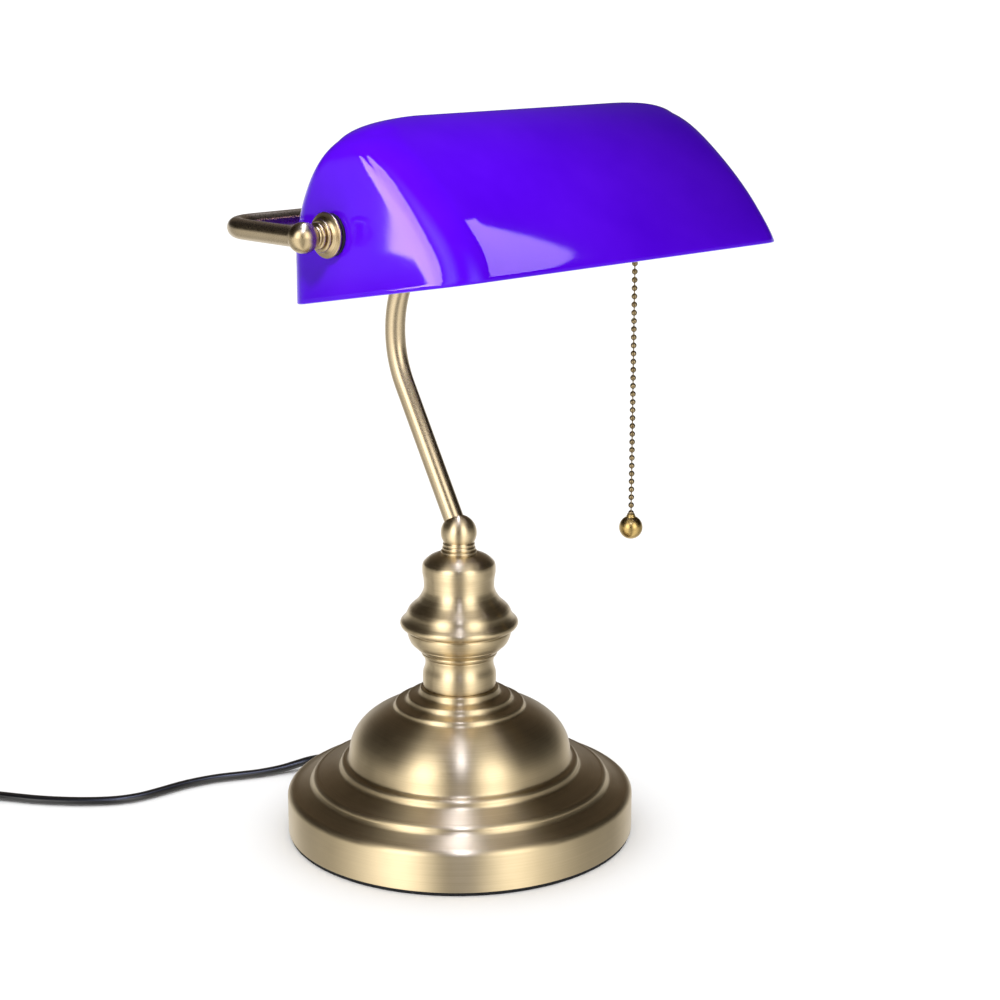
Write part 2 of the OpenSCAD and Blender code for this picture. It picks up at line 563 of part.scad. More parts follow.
// ---- the wire inside, from the terminal block to the socket ----
lead_d = 2.8;
lead_path = concat(
  [[0, 36.8, 8.2], [0, 28, 6.4], [0, 18, 5.6], [0, 9, 5.4], [0, 3, 6.6], [0, 0.4, 10], [0, 0, 16]],
  [for (z = [40:30:130]) [0, 0, z]],
  [[0, 0, ball_z - 8], [0, 0.2, ball_z - 3], [0, 1.2, ball_z + 2.2]],
  [for (s = [8, 30, 55, stem_run]) ball_at + s * lean(stem_lean)],
  [for (w = [-stem_lean + 7:8:stem_return - 4]) bend_at + stem_bend * [0, cos(w), sin(w)]],
  [for (s = [2, 20, return_run - 8]) bend_out + s * lean(-stem_return)],
  [tee_at + [0.3, 1.1, -3], tee_at + [1.2, 0.4, -0.9], tee_at + [3.4, 0, -0.1]],
  [for (x = [8, 40, 80, pivot_x - yoke_bend]) [x, bar_y, pivot_z]],
  [for (w = [75:-15:15]) [pivot_x - yoke_bend + yoke_bend * cos(w),
    bar_y - yoke_bend + yoke_bend * sin(w), pivot_z]],
  [for (y = [bar_y - yoke_bend, 0, -20, pivot_y + 5]) [pivot_x, y, pivot_z]],
  [[pivot_x - 0.3, pivot_y + 2.2, pivot_z], [pivot_x - 1.6, pivot_y + 0.4, pivot_z],
   [pivot_x - 4, pivot_y, pivot_z], [pivot_x - 16, pivot_y, pivot_z], [pivot_x - 30, pivot_y, pivot_z],
   [pivot_x - cap_end - 0.8, pivot_y, pivot_z]]);
module inner_lead() color("#7a2b22") swept(lead_path, section(lead_d, lead_d, 8), unit([1, 1, -1]));

// ---- mains cord: it lies on the table, goes off to the left and is coiled there ----
lie = cord_t / 2 + 0.05;
cord_route = [
  [0, 109, cord_z], [-0.5, 114.5, 7.5], [-3, 120, 6.6], [-7.8, 124.6, 5.1], [-14.5, 127.8, 3.6],
  [-23.3, 130.8, 2.4], [-35.3, 135.2, lie], [-46.2, 140.3, lie], [-57, 145.6, lie], [-68.6, 149.4, lie],
  [-81, 151.6, lie], [-94.5, 152.4, lie], [-107, 153.8, lie], [-118, 157.8, lie], [-127.5, 164.2, lie],
  [-136, 171.9, lie], [-143.9, 180.5, lie], [-151.2, 189.8, lie], [-157.8, 200, lie], [-164.2, 210.6, lie],
  [-170.4, 221.2, lie], [-176.4, 231.4, lie], [-182.2, 240.8, 2.2]];
coil_at = [-218, 231];
coil_in = 28.4;
coil_out = 34.9;
coil_low = 0.5;
layer = 3.75;
tail_route = [
  [-252.9, 215.8, 13.5], [-252.9, 207, 12.8], [-253, 197, 11], [-253, 187, 8.6], [-253, 178, 7.3],
  [-253, 171, 6.9]];
flat_section = section(cord_w, cord_t, 12);

module mains_cord() color(black) swept(cord_route, flat_section);
module cord_tail() color(black) swept(tail_route, flat_section);
module cord_coil() color(black) translate([coil_at[0], coil_at[1], coil_low]) rotate_extrude($fn = 96)
  translate([coil_in - cord_w / 2, 0]) square([coil_out - coil_in + cord_w, 4 * layer]);
module cord_tie() color("#2a2a2c") translate([coil_at[0], coil_at[1], 0]) rotate([0, 0, 290])
  translate([(coil_in + coil_out) / 2, 0, coil_low + 2 * layer]) rotate([90, 0, 0])
    linear_extrude(height = 5, center = true) difference() {
      square([coil_out - coil_in + cord_w + 1.4, 4 * layer + 0.98], center = true);
      square([coil_out - coil_in + cord_w + 0.4, 4 * layer + 0.02], center = true);
    }

// ---- plug: it lies flat, its pins towards the front ----
plug_at = [-253, 157, 6.85];
plug_l = 35;
pin_r = 2;
root_r = 1.6;
pin_out = 19;
pin_gap = 18.6;
module plug_block(w, h, l, y) translate([0, y, 0]) rotate([90, 0, 0])
  linear_extrude(height = l) offset(r = 3, $fn = 32) square([w - 6, h - 6], center = true);
module plug_body() color(black) difference() {
  translate(plug_at) union() {
    hull() {
      plug_block(20, 11, 2, 0);
      plug_block(35, 13.7, 6, -plug_l + 6);
    }
    translate([0, 14, 0]) rotate([90, 0, 0]) cylinder(r1 = 3.9, r2 = 5, h = 16);
  }
  translate(plug_at) rotate([-90, 0, 0]) linear_extrude(height = 30) cord_slot();
  at_pins(8) cylinder(r = root_r + 0.02, h = 20);
}
module at_pins(back) for (s = [-1, 1])
  translate(plug_at + [s * pin_gap / 2, back - plug_l, 0]) rotate([90, 0, 0]) children();
module plug_pins() color(steel) {
  at_pins(7.5) cylinder(r = root_r, h = 7.5);
  at_pins(0) {
    cylinder(r = pin_r, h = pin_out - 1);
    translate([0, 0, pin_out - 1]) cylinder(r1 = pin_r, r2 = pin_r - 0.8, h = 1);
  }
}

base_shell();
base_weight();
base_plate();
base_pad();
plate_screws();
cord_relief();
terminal_block();
cord_inner_end();
inner_lead();
column_rod();
rod_washer();
rod_nut();
column_foot();
column_bell();
neck_collar();
column_ball();
stem_tube();
yoke_tee();
yoke_arm_left();
yoke_arm_right();
pivot_ball_left();
pivot_ball_right();
pivot_collar_left();
pivot_collar_right();
pivot_flange_left();
pivot_flange_right();
pivot_nipple_left();
pivot_nipple_right();
backing_washers();
pivot_nuts();
shade_glass();
outer_washer_left();
outer_washer_right();
inner_washer_left();
inner_washer_right();
pivot_bushes();
socket_cap();
socket_shell();
socket_body();
socket_sleeve();
screw_shell();
centre_contact();
chain_guide();
switch_lever();
chain_top_bead();
chain_link_bead();
pull_chain();
pull_ball();
bulb_cap();
bulb_insulator();
bulb_glass();
bulb_filament();
mains_cord();
cord_coil();
cord_tail();
cord_tie();
plug_body();
plug_pins();
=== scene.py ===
import bpy
import math
import numpy as np
from mathutils import Matrix, Vector


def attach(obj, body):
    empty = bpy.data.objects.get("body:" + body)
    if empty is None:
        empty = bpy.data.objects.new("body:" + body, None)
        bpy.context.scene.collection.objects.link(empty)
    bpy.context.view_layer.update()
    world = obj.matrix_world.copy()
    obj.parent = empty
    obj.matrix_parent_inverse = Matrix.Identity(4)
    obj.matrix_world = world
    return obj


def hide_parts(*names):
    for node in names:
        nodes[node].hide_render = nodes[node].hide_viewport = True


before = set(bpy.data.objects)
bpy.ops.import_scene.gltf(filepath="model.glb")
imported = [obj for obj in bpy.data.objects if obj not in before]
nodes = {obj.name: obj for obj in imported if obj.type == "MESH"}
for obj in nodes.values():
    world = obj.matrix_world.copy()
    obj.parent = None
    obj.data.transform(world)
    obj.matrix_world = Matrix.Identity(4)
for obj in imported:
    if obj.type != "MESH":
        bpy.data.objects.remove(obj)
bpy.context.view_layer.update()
scene = bpy.context.scene
scene.view_settings.view_transform = "Standard"
MM = 0.001

# ---------------------------------------------------------------- camera
camera_data = bpy.data.cameras.new("camera")
camera_data.sensor_width = 36.0
camera_data.lens = 76.32
camera_data.clip_end = 200.0
camera = bpy.data.objects.new("camera", camera_data)
scene.collection.objects.link(camera)
camera.location = (-0.7494, -0.8065, 0.4638)
forward = Vector((0.6742, 0.6969, -0.2446)).normalized()
camera.rotation_euler = forward.to_track_quat("-Z", "Y").to_euler()
scene.camera = camera
to_camera = Vector((-0.6955, -0.7186, 0.0)).normalized()      # level, from the lamp to the camera
to_right = Vector((0.7187, -0.6953, 0.0)).normalized()        # level, the picture's right


# ---------------------------------------------------------------- mesh helpers
def finish_mesh(name, verts, faces, material, body, replaces=(), slot=None, sharp=40.0, mats=None, face_mats=None):
    """A smooth-shaded mesh in the row frame (verts in mm), riding on a body."""
    mesh = bpy.data.meshes.new(name)
    mesh.from_pydata([Vector(v) * MM for v in verts], [], faces)
    for m in (mats or [material]):
        mesh.materials.append(m)
    if face_mats is not None:
        mesh.polygons.foreach_set("material_index", face_mats)
    mesh.polygons.foreach_set("use_smooth", [True] * len(mesh.polygons))
    mesh.validate()
    mesh.update()
    mesh.set_sharp_from_angle(angle=math.radians(sharp))
    obj = bpy.data.objects.new(name, mesh)
    scene.collection.objects.link(obj)
    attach(obj, body)
    if replaces:
        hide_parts(*replaces)
    return obj


def arc(cr, cz, a, b, start, end, n=14):
    return [(cr + a * math.cos(w), cz + b * math.sin(w))
            for w in (math.radians(start + (end - start) * i / n) for i in range(n + 1))]


def bezier(p, n=24):
    out = []
    for i in range(n + 1):
        t = i / n
        s = 1 - t
        out.append(tuple(s ** 3 * p[0][k] + 3 * s * s * t * p[1][k] + 3 * s * t * t * p[2][k] + t ** 3 * p[3][k]
                         for k in (0, 1)))
    return out


def soften(points, radius=0.35, steps=3, least=14.0):
    """Rounds the corners of a closed outline."""
    pts = [np.array(p, float) for p in points]
    clean = [pts[0]]
    for p in pts[1:]:
        if np.linalg.norm(p - clean[-1]) > 1e-4:
            clean.append(p)
    if np.linalg.norm(clean[0] - clean[-1]) < 1e-4:
        clean.pop()
    out = []
    n = len(clean)
    for i in range(n):
        p, a, b = clean[i], clean[i - 1], clean[(i + 1) % n]
        u, v = a - p, b - p
        lu, lv = np.linalg.norm(u), np.linalg.norm(v)
        turn = 180 - math.degrees(math.acos(max(-1, min(1, float(u @ v) / (lu * lv)))))
        if turn < least or p[0] < 1e-6:
            out.append(tuple(p))
            continue
        r = min(radius, 0.42 * lu, 0.42 * lv)
        s, e = p + u / lu * r, p + v / lv * r
        for k in range(steps + 1):
            t = k / steps
            out.append(tuple((1 - t) ** 2 * s + 2 * t * (1 - t) * p + t * t * e))
    return out


def rounded(points, kept, steps=5):
    """A smooth outline through the points; it stays sharp at the kept heights."""
    out, run = [], [points[0]]
    for q in points[1:]:
        run.append(q)
        if any(abs(q[1] - k) < 0.26 for k in kept) or q is points[-1]:
            m = [np.array(v, float) for v in [run[0]] + run + [run[-1]]]
            for i in range(len(run) - 1):
                a, b, c, d = m[i], m[i + 1], m[i + 2], m[i + 3]
                for j in range(steps):
                    t = j / steps
                    v = 0.5 * (2 * b + (c - a) * t + (2 * a - 5 * b + 4 * c - d) * t * t + (3 * b - a - 3 * c + d) * t ** 3)
                    out.append((float(v[0]), float(v[1])))
            run = [q]
    return out + [points[-1]]


def axis_frame(direction):
    d = Vector(direction).normalized()
    side = d.orthogonal().normalized()
    return side, d.cross(side).normalized(), d


def lathe_data(outline, origin=(0, 0, 0), direction=(0, 0, 1), n=160):
    """A closed outline of (radius, distance along the axis) turned round the axis."""
    side, up, d = axis_frame(direction)
    o = Vector(origin)
    verts, faces, rings = [], [], []
    for r, h in outline:
        if r < 1e-6:
            rings.append([len(verts)] * n)
            verts.append(tuple(o + d * h))
            continue
        rings.append(list(range(len(verts), len(verts) + n)))
        for j in range(n):
            w = 2 * math.pi * j / n
            verts.append(tuple(o + side * (r * math.cos(w)) + up * (r * math.sin(w)) + d * h))
    m = len(outline)
    area = sum(outline[i][0] * outline[(i + 1) % m][1] - outline[(i + 1) % m][0] * outline[i][1] for i in range(m))
    for i in range(m):
        a, b = rings[i], rings[(i + 1) % m]
        if a[0] == a[1] and b[0] == b[1]:
            continue
        for j in range(n):
            k = (j + 1) % n
            face = [a[j], a[k], b[k], b[j]]
            face = [x for q, x in enumerate(face) if x not in face[:q]]
            faces.append(face if area > 0 else face[::-1])
    return verts, faces


def lathe(name, outline, material, body, origin=(0, 0, 0), direction=(0, 0, 1), n=160, radius=0.35, **kw):
    verts, faces = lathe_data(soften(outline, radius), origin, direction, n)
    return finish_mesh(name, verts, faces, material, body, **kw)


def join(parts):
    """Several (verts, faces) as one."""
    verts, faces = [], []
    for v, f in parts:
        faces += [[i + len(verts) for i in face] for face in f]
        verts += list(v)
    return verts, faces


def spline(points, step):
    """A smooth curve through the points, sampled about step apart."""
    p = np.array(points, float)
    p = np.vstack([2 * p[0] - p[1], p, 2 * p[-1] - p[-2]])
    out = []
    for i in range(1, len(p) - 2):
        p0, p1, p2, p3 = p[i - 1:i + 3]
        n = max(1, int(round(np.linalg.norm(p2 - p1) / step)))
        for k in range(n):
            t = k / n
            out.append(0.5 * ((2 * p1) + (p2 - p0) * t + (2 * p0 - 5 * p1 + 4 * p2 - p3) * t * t
                              + (3 * p1 - p0 - 3 * p2 + p3) * t ** 3))
    out.append(p[-2])
    return np.array(out)


def sweep_data(path, section, up=(0, 0, 1), caps=True):
    """A closed section of (across, up) carried along a path."""
    path = np.array(path, float)
    n, m = len(section), len(path)
    verts, faces = [], []
    for i in range(m):
        d = path[min(i + 1, m - 1)] - path[max(i - 1, 0)]
        d /= np.linalg.norm(d)
        side = np.cross(d, np.array(up, float))
        side /= np.linalg.norm(side)
        top = np.cross(side, d)
        for q in section:
            verts.append(tuple(path[i] + side * q[0] + top * q[1]))
    for i in range(m - 1):
        for j in range(n):
            k = (j + 1) % n
            faces.append([i * n + j, (i + 1) * n + j, (i + 1) * n + k, i * n + k])
    if caps:
        faces.append(list(range(n)))
        faces.append([(m - 1) * n + j for j in range(n - 1, -1, -1)])
    return verts, faces


def circle(r, n=48):
    return [(r * math.cos(2 * math.pi * j / n), r * math.sin(2 * math.pi * j / n)) for j in range(n)]


# ---------------------------------------------------------------- material helpers
def new_material(name):
    m = bpy.data.materials.new(name)
    m.use_nodes = True
    t = m.node_tree
    return m, t, t.nodes["Principled BSDF"]


def node(t, kind, **values):
    n = t.nodes.new(kind)
    for k, v in values.items():
        setattr(n, k, v)
    return n


def math_node(t, op, a, b=None):
    n = node(t, "ShaderNodeMath", operation=op)
    for i, v in enumerate((a, b)):
        if v is None:
            continue
        if isinstance(v, (int, float)):
            n.inputs[i].default_value = v
        else:
            t.links.new(v, n.inputs[i])
    return n.outputs[0]


def noise(t, vector, scale, detail=3.0, rough=0.5):
    n = node(t, "ShaderNodeTexNoise")
    n.inputs["Scale"].default_value = scale
    n.inputs["Detail"].default_value = detail
    n.inputs["Roughness"].default_value = rough
    if vector is not None:
        t.links.new(vector, n.inputs["Vector"])
    return n.outputs["Fac"]


def ramp(t, value, low, high, from_low=0.0, from_high=1.0):
    n = node(t, "ShaderNodeMapRange")
    n.inputs["From Min"].default_value = from_low
    n.inputs["From Max"].default_value = from_high
    n.inputs["To Min"].default_value = low
    n.inputs["To Max"].default_value = high
    t.links.new(value, n.inputs["Value"])
    return n.outputs["Result"]


def mix(t, fac, a, b):
    n = node(t, "ShaderNodeMix", data_type="RGBA")
    if isinstance(fac, float):
        n.inputs["Factor"].default_value = fac
    else:
        t.links.new(fac, n.inputs["Factor"])
    for key, v in ((6, a), (7, b)):
        if isinstance(v, tuple):
            n.inputs[key].default_value = (*v, 1.0)
        else:
            t.links.new(v, n.inputs[key])
    return n.outputs[2]


def object_coords(t, offset=(0, 0, 0)):
    c = node(t, "ShaderNodeTexCoord")
    s = node(t, "ShaderNodeVectorMath", operation="SUBTRACT")
    s.inputs[1].default_value = offset
    t.links.new(c.outputs["Object"], s.inputs[0])
    return s.outputs[0]


def turned_coords(t, axis, offset=(0, 0, 0)):
    """(radius, distance along the axis, angle) so that noise runs in rings round the axis."""
    xyz = node(t, "ShaderNodeSeparateXYZ")
    t.links.new(object_coords(t, offset), xyz.inputs[0])
    x, y, z = xyz.outputs
    a, b, h = {"X": (y, z, x), "Z": (x, y, z)}[axis]
    r = math_node(t, "SQRT", math_node(t, "ADD", math_node(t, "MULTIPLY", a, a), math_node(t, "MULTIPLY", b, b)))
    w = math_node(t, "ARCTAN2", b, a)
    out = node(t, "ShaderNodeCombineXYZ")
    t.links.new(r, out.inputs[0])
    t.links.new(h, out.inputs[1])
    t.links.new(math_node(t, "MULTIPLY", w, 0.0006), out.inputs[2])
    return out.outputs[0]


def bump(t, height, strength, distance):
    n = node(t, "ShaderNodeBump")
    n.inputs["Strength"].default_value = strength
    n.inputs["Distance"].default_value = distance
    t.links.new(height, n.inputs["Height"])
    return n.outputs["Normal"]


def brass(name, light, dark, rough, spread, axis=None, offset=(0, 0, 0), anisotropic=0.0, lines=1800.0, relief=0.05,
          wash=22.0):
    """Satin brass: rings of fine lathe marks, or plain fine grain where it isn't turned."""
    m, t, p = new_material(name)
    p.inputs["Metallic"].default_value = 1.0
    coords = turned_coords(t, axis, offset) if axis else object_coords(t)
    grain = noise(t, coords, lines, 4.0, 0.6)
    cloud = noise(t, object_coords(t), wash, 3.0, 0.55)
    tone = math_node(t, "ADD", math_node(t, "MULTIPLY", grain, 0.45), math_node(t, "MULTIPLY", cloud, 0.55))
    t.links.new(mix(t, ramp(t, tone, 0.0, 1.0, 0.3, 0.7), dark, light), p.inputs["Base Color"])
    t.links.new(ramp(t, grain, rough - spread, rough + spread, 0.3, 0.7), p.inputs["Roughness"])
    t.links.new(bump(t, grain, relief, 0.0002), p.inputs["Normal"])
    if axis and anisotropic:
        tangent = node(t, "ShaderNodeTangent", direction_type="RADIAL", axis=axis)
        t.links.new(tangent.outputs[0], p.inputs["Tangent"])
        p.inputs["Anisotropic"].default_value = anisotropic
        p.inputs["Anisotropic Rotation"].default_value = 0.25
    return m


def plain(name, color, rough, metallic=0.0, var=0.12, scale=60.0, grain=900.0, relief=0.08, spread=0.05, coat=0.0):
    """A moulded, painted or plated surface with fine grain and slight unevenness."""
    m, t, p = new_material(name)
    p.inputs["Metallic"].default_value = metallic
    c = object_coords(t)
    cloud = noise(t, c, scale, 3.0)
    fine = noise(t, c, grain, 3.0)
    low = tuple(x * (1 - var) for x in color)
    high = tuple(min(1.0, x * (1 + var)) for x in color)
    t.links.new(mix(t, ramp(t, cloud, 0.0, 1.0, 0.3, 0.7), low, high), p.inputs["Base Color"])
    t.links.new(ramp(t, fine, rough - spread, rough + spread, 0.3, 0.7), p.inputs["Roughness"])
    t.links.new(bump(t, fine, relief, 0.0002), p.inputs["Normal"])
    p.inputs["Coat Weight"].default_value = coat
    p.inputs["Coat Roughness"].default_value = 0.08
    return m


LIGHT = (0.68, 0.56, 0.36)
DARK = (0.50, 0.40, 0.24)
PIVOT = (0.0, -0.0353, 0.341)
brass_base = brass("brass_base", LIGHT, DARK, 0.36, 0.04, "Z", anisotropic=0.95)
brass_turned = brass("brass_turned", LIGHT, DARK, 0.34, 0.04, "Z", anisotropic=0.9)
# Pivot, nut and socket brass: the same satin brass with its colours painted about 0.8 to 0.85 as bright, as painted
# shade for the dark surroundings and violet glass these parts mirror.
brass_pivot_shaded = brass("brass_pivot_shaded", (0.58, 0.47, 0.29), (0.40, 0.31, 0.18), 0.28, 0.04, "X", offset=PIVOT, anisotropic=0.6)
# Stem, tee and yoke arm brass: the same satin brass with its colours painted about 0.8 to 0.85 as bright, as painted
# shade for the darker reflections along the tubes.
brass_tube_shaded = brass("brass_tube_shaded", (0.56, 0.46, 0.31), (0.40, 0.32, 0.20), 0.29, 0.04, lines=1500.0, relief=0.04)
brass_chain = brass("brass_chain", (0.36, 0.28, 0.16), (0.10, 0.07, 0.03), 0.22, 0.06, lines=2500.0, relief=0.06, wash=420.0)
brass_ball = brass("brass_ball", (0.60, 0.43, 0.17), (0.33, 0.23, 0.08), 0.30, 0.06, lines=1500.0, relief=0.05, wash=150.0)
brass_bright = brass("brass_bright", (0.85, 0.66, 0.32), (0.62, 0.46, 0.20), 0.18, 0.04, lines=1500.0)
steel = plain("zinc_steel", (0.55, 0.55, 0.57), 0.32, metallic=1.0)
nickel = plain("nickel", (0.72, 0.71, 0.69), 0.15, metallic=1.0, var=0.05, relief=0.03)
iron = plain("cast_iron", (0.05, 0.05, 0.052), 0.7, metallic=0.3, grain=400.0, relief=0.5)
felt = plain("felt", (0.012, 0.012, 0.014), 0.95, var=0.3, scale=300.0, grain=1600.0, relief=0.8)
rubber = plain("rubber", (0.012, 0.012, 0.013), 0.6, relief=0.15)
nylon = plain("nylon", (0.78, 0.75, 0.66), 0.4)
pvc = plain("pvc_black", (0.010, 0.010, 0.011), 0.34, grain=1200.0, relief=0.1)
plug_black = plain("plug_black", (0.012, 0.012, 0.013), 0.42, grain=2600.0, relief=0.25)
bakelite = plain("bakelite", (0.022, 0.016, 0.012), 0.22, relief=0.03)
fibre = plain("fibre", (0.42, 0.30, 0.16), 0.75, var=0.25, scale=250.0, grain=1400.0, relief=0.4)
phosphor = plain("phosphor", (0.90, 0.62, 0.14), 0.5)
lead_skin = plain("lead_skin", (0.22, 0.06, 0.04), 0.45)
screw_steel = plain("screw_steel", (0.6, 0.6, 0.62), 0.3, metallic=1.0)

# ---------------------------------------------------------------- mains cord
LIE = 1.9
CORD_W, CORD_T = 6.2, 3.7
ROUTE = [(0, 109, 7.8), (-0.5, 114.5, 7.5), (-3, 120, 6.6), (-7.8, 124.6, 5.1), (-14.5, 127.8, 3.6), (-23.3, 130.8, 2.4),
         (-35.3, 135.2, LIE), (-46.2, 140.3, LIE), (-57, 145.6, LIE), (-68.6, 149.4, LIE), (-81, 151.6, LIE),
         (-94.5, 152.4, LIE), (-107, 153.8, LIE), (-118, 157.8, LIE), (-127.5, 164.2, LIE), (-136, 171.9, LIE),
         (-143.9, 180.5, LIE), (-151.2, 189.8, LIE), (-157.8, 200, LIE), (-164.2, 210.6, LIE), (-170.4, 221.2, LIE),
         (-176.4, 231.4, LIE), (-182.2, 240.8, LIE)]
TAIL = [(-252.9, 222, 13.2), (-252.9, 207, 12.8), (-253, 197, 11), (-253, 187, 8.8), (-253, 178, 7.3), (-253, 171, 6.9),
        (-253, 160, 6.85)]
COIL = np.array([-218.0, 231.0])
SLOTS = [(34.9, 0), (28.4, 0), (28.4, 1), (34.9, 1), (34.9, 2), (28.4, 2), (28.4, 3), (34.9, 3)]
LAYER = 3.75


def ease(t):
    t = max(0.0, min(1.0, t))
    return 2 * t * t if t < 0.5 else 1 - 2 * (1 - t) ** 2


def coil_point(turned):
    """A point of the coil, by the degrees wound since the cord came onto it."""
    r, h = SLOTS[0]
    for k in range(1, len(SLOTS)):
        shift = SLOTS[k][0] != SLOTS[k - 1][0]
        wide = 84.0 if shift else 60.0
        end = 360.0 * k - 12.0 * (k - 1)
        e = ease((turned - (end - wide)) / wide)
        r += (SLOTS[k][0] - SLOTS[k - 1][0]) * e
        h += (SLOTS[k][1] - SLOTS[k - 1][1]) * e
    w = math.radians(36.87 + turned)
    return (COIL[0] + r * math.cos(w), COIL[1] + r * math.sin(w), LIE + LAYER * h)


WOUND = 2663.13
coil_line = [coil_point(WOUND * i / 300) for i in range(301)]
cord_path = spline(ROUTE + coil_line + TAIL, 2.2)
half_flat = (CORD_W - CORD_T) / 2
cord_section = [(s * half_flat + CORD_T / 2 * math.cos(w), CORD_T / 2 * math.sin(w))
                for s, a in ((1, -90), (-1, 90)) for w in np.radians(np.linspace(a, a + 180, 9))]
cord = finish_mesh("mains_cord_flex", *sweep_data(cord_path, cord_section), pvc, "lamp",
                   replaces=("mains_cord", "cord_coil", "cord_tail"), slot="cord_black", sharp=60)

# the tie round the coil: a flat strap with a twisted end
TIE = math.radians(290)
tie_out = Vector((math.cos(TIE), math.sin(TIE), 0))
tie_side = Vector((-math.sin(TIE), math.cos(TIE), 0))
tie_mid = Vector((COIL[0], COIL[1], 0)) + tie_out * 31.65 + Vector((0, 0, 7.6))
half_w, half_h = 6.35 + 0.35, 7.55
loop = []
for cx, cz, a0 in ((half_w - 2, half_h - 1.6, 0), (-half_w + 2, half_h - 1.6, 90), (-half_w + 2, -half_h + 1.6, 180),
                   (half_w - 2, -half_h + 1.6, 270)):
    for i in range(7):
        w = math.radians(a0 + 15 * i)
        loop.append((cx + 2 * math.cos(w), cz + 1.6 * math.sin(w)))
verts, faces = [], []
profile = [(-2.3, 0.0), (-2.3, 0.45), (-1.6, 0.75), (1.6, 0.75), (2.3, 0.45), (2.3, 0.0)]
for i, (u, v) in enumerate(loop):
    a, b = Vector(loop[i - 1]), Vector(loop[(i + 1) % len(loop)])
    d = (b - a).normalized()
    out = Vector((d.y, -d.x))
    for across, lift in profile:
        q = Vector((u, v)) + out * lift
        verts.append(tie_mid + tie_out * q.x + Vector((0, 0, q.y)) + tie_side * across)
n, m = len(profile), len(loop)
for i in range(m):
    for j in range(n):
        k, l = (j + 1) % n, (i + 1) % m
        faces.append([i * n + j, i * n + k, l * n + k, l * n + j])
tail_v, tail_f = [], []
for s in (-1, 1):
    line = []
    for i in range(22):
        t = i / 21
        w = math.radians(560 * t) + (0 if s > 0 else math.pi)
        c = tie_mid + tie_out * (half_w + 0.9 + 7 * t) + Vector((0, 0, 2.0 + 2.6 * t))
        line.append(tuple(c + tie_side * (0.9 * math.cos(w)) + Vector((0, 0, 0.9 * math.sin(w)))))
    v, f = sweep_data(line, circle(0.55, 8), up=(0.3, 0.2, 1))
    tail_f += [[i + len(tail_v) for i in face] for face in f]
    tail_v += v
verts, faces = join([([tuple(v) for v in verts], faces), (tail_v, tail_f)])
tie = finish_mesh("cord_tie_strap", verts, faces, rubber, "lamp", replaces=("cord_tie",), slot="cord_black")

# the plug: a contoured body with grip ribs, a segmented relief and two sleeved pins
PLUG = Vector((-253, 157, 6.85))


def rounded_box(w, h, r, n=8):
    out = []
    for cx, cy, a0 in ((w / 2 - r, h / 2 - r, 0), (-w / 2 + r, h / 2 - r, 90), (-w / 2 + r, -h / 2 + r, 180),
                       (w / 2 - r, -h / 2 + r, 270)):
        for i in range(n + 1):
            a = math.radians(a0 + 90 * i / n)
            out.append((cx + r * math.cos(a), cy + r * math.sin(a)))
    return out


plug_levels = [(0.4, 10.4, 8.4), (0.0, 13.0, 9.6), (-0.6, 15.0, 10.2), (-3, 19.8, 10.9), (-6, 23.6, 11.4),
               (-10, 27.4, 11.9)]
for i in range(5):
    y = -12 - 2.6 * i
    w = 28.8 + 1.1 * i
    plug_levels += [(y, w, 12.2 + 0.2 * i), (y - 0.5, w - 1.4, 11.6 + 0.2 * i), (y - 1.1, w - 1.4, 11.6 + 0.2 * i),
                    (y - 1.6, w + 0.6, 12.3 + 0.2 * i)]
plug_levels += [(-26.5, 34.2, 13.4), (-29, 34.9, 13.66), (-33.6, 34.9, 13.66), (-34.5, 34.2, 13.0), (-35, 32.6, 11.6)]
plug_v, plug_f = [], []
ring = len(rounded_box(10, 8, 3))
for y, w, h in plug_levels:
    for q in rounded_box(w, h, min(h, w) / 2 * 0.86):
        plug_v.append((PLUG.x + q[0], PLUG.y + y, PLUG.z + q[1]))
for i in range(len(plug_levels) - 1):
    for j in range(ring):
        k = (j + 1) % ring
        plug_f.append([i * ring + j, i * ring + k, (i + 1) * ring + k, (i + 1) * ring + j])
plug_f.append(list(range(ring - 1, -1, -1)))
plug_f.append([(len(plug_levels) - 1) * ring + j for j in range(ring)])
relief_line = [(5.2, -2.2)]
for i in range(6):
    relief_line += [(5.1 - 0.24 * i, 0.3 + 2.2 * i), (5.1 - 0.24 * i, 1.5 + 2.2 * i), (4.2 - 0.1 * i, 1.7 + 2.2 * i),
                    (4.2 - 0.1 * i, 2.3 + 2.2 * i)]
relief_line += [(3.6, 14.0), (3.1, 14.2), (3.0, -2.2)]
plug = finish_mesh("plug_moulding", *join([(plug_v, plug_f),
                                           lathe_data(soften(relief_line, 0.2), PLUG, (0, 1, 0), 40)]),
                   plug_black, "lamp", replaces=("plug_body",), slot="cord_black", sharp=50)
pin_parts, sleeve_parts = [], []
for s in (-1, 1):
    root = PLUG + Vector((9.3 * s, -35, 0))
    pin_parts.append(lathe_data(soften([(0, 9.0), (2.0, 9.0), (2.0, 17.6), (1.6, 18.6), (0.7, 19.0), (0, 19.0)], 0.3),
                                root, (0, -1, 0), 40))
    sleeve_parts.append(lathe_data(soften([(0, -0.4), (2.6, -0.4), (2.6, 0.5), (1.98, 0.9), (1.92, 9.6), (0, 9.6)], 0.15),
                                   root, (0, -1, 0), 40))
pins = finish_mesh("plug_contacts", *join(pin_parts), nickel, "lamp", replaces=("plug_pins",), slot="pin_nickel")
sleeves = finish_mesh("plug_pin_sleeves", *join(sleeve_parts), pvc, "lamp", slot="cord_black")

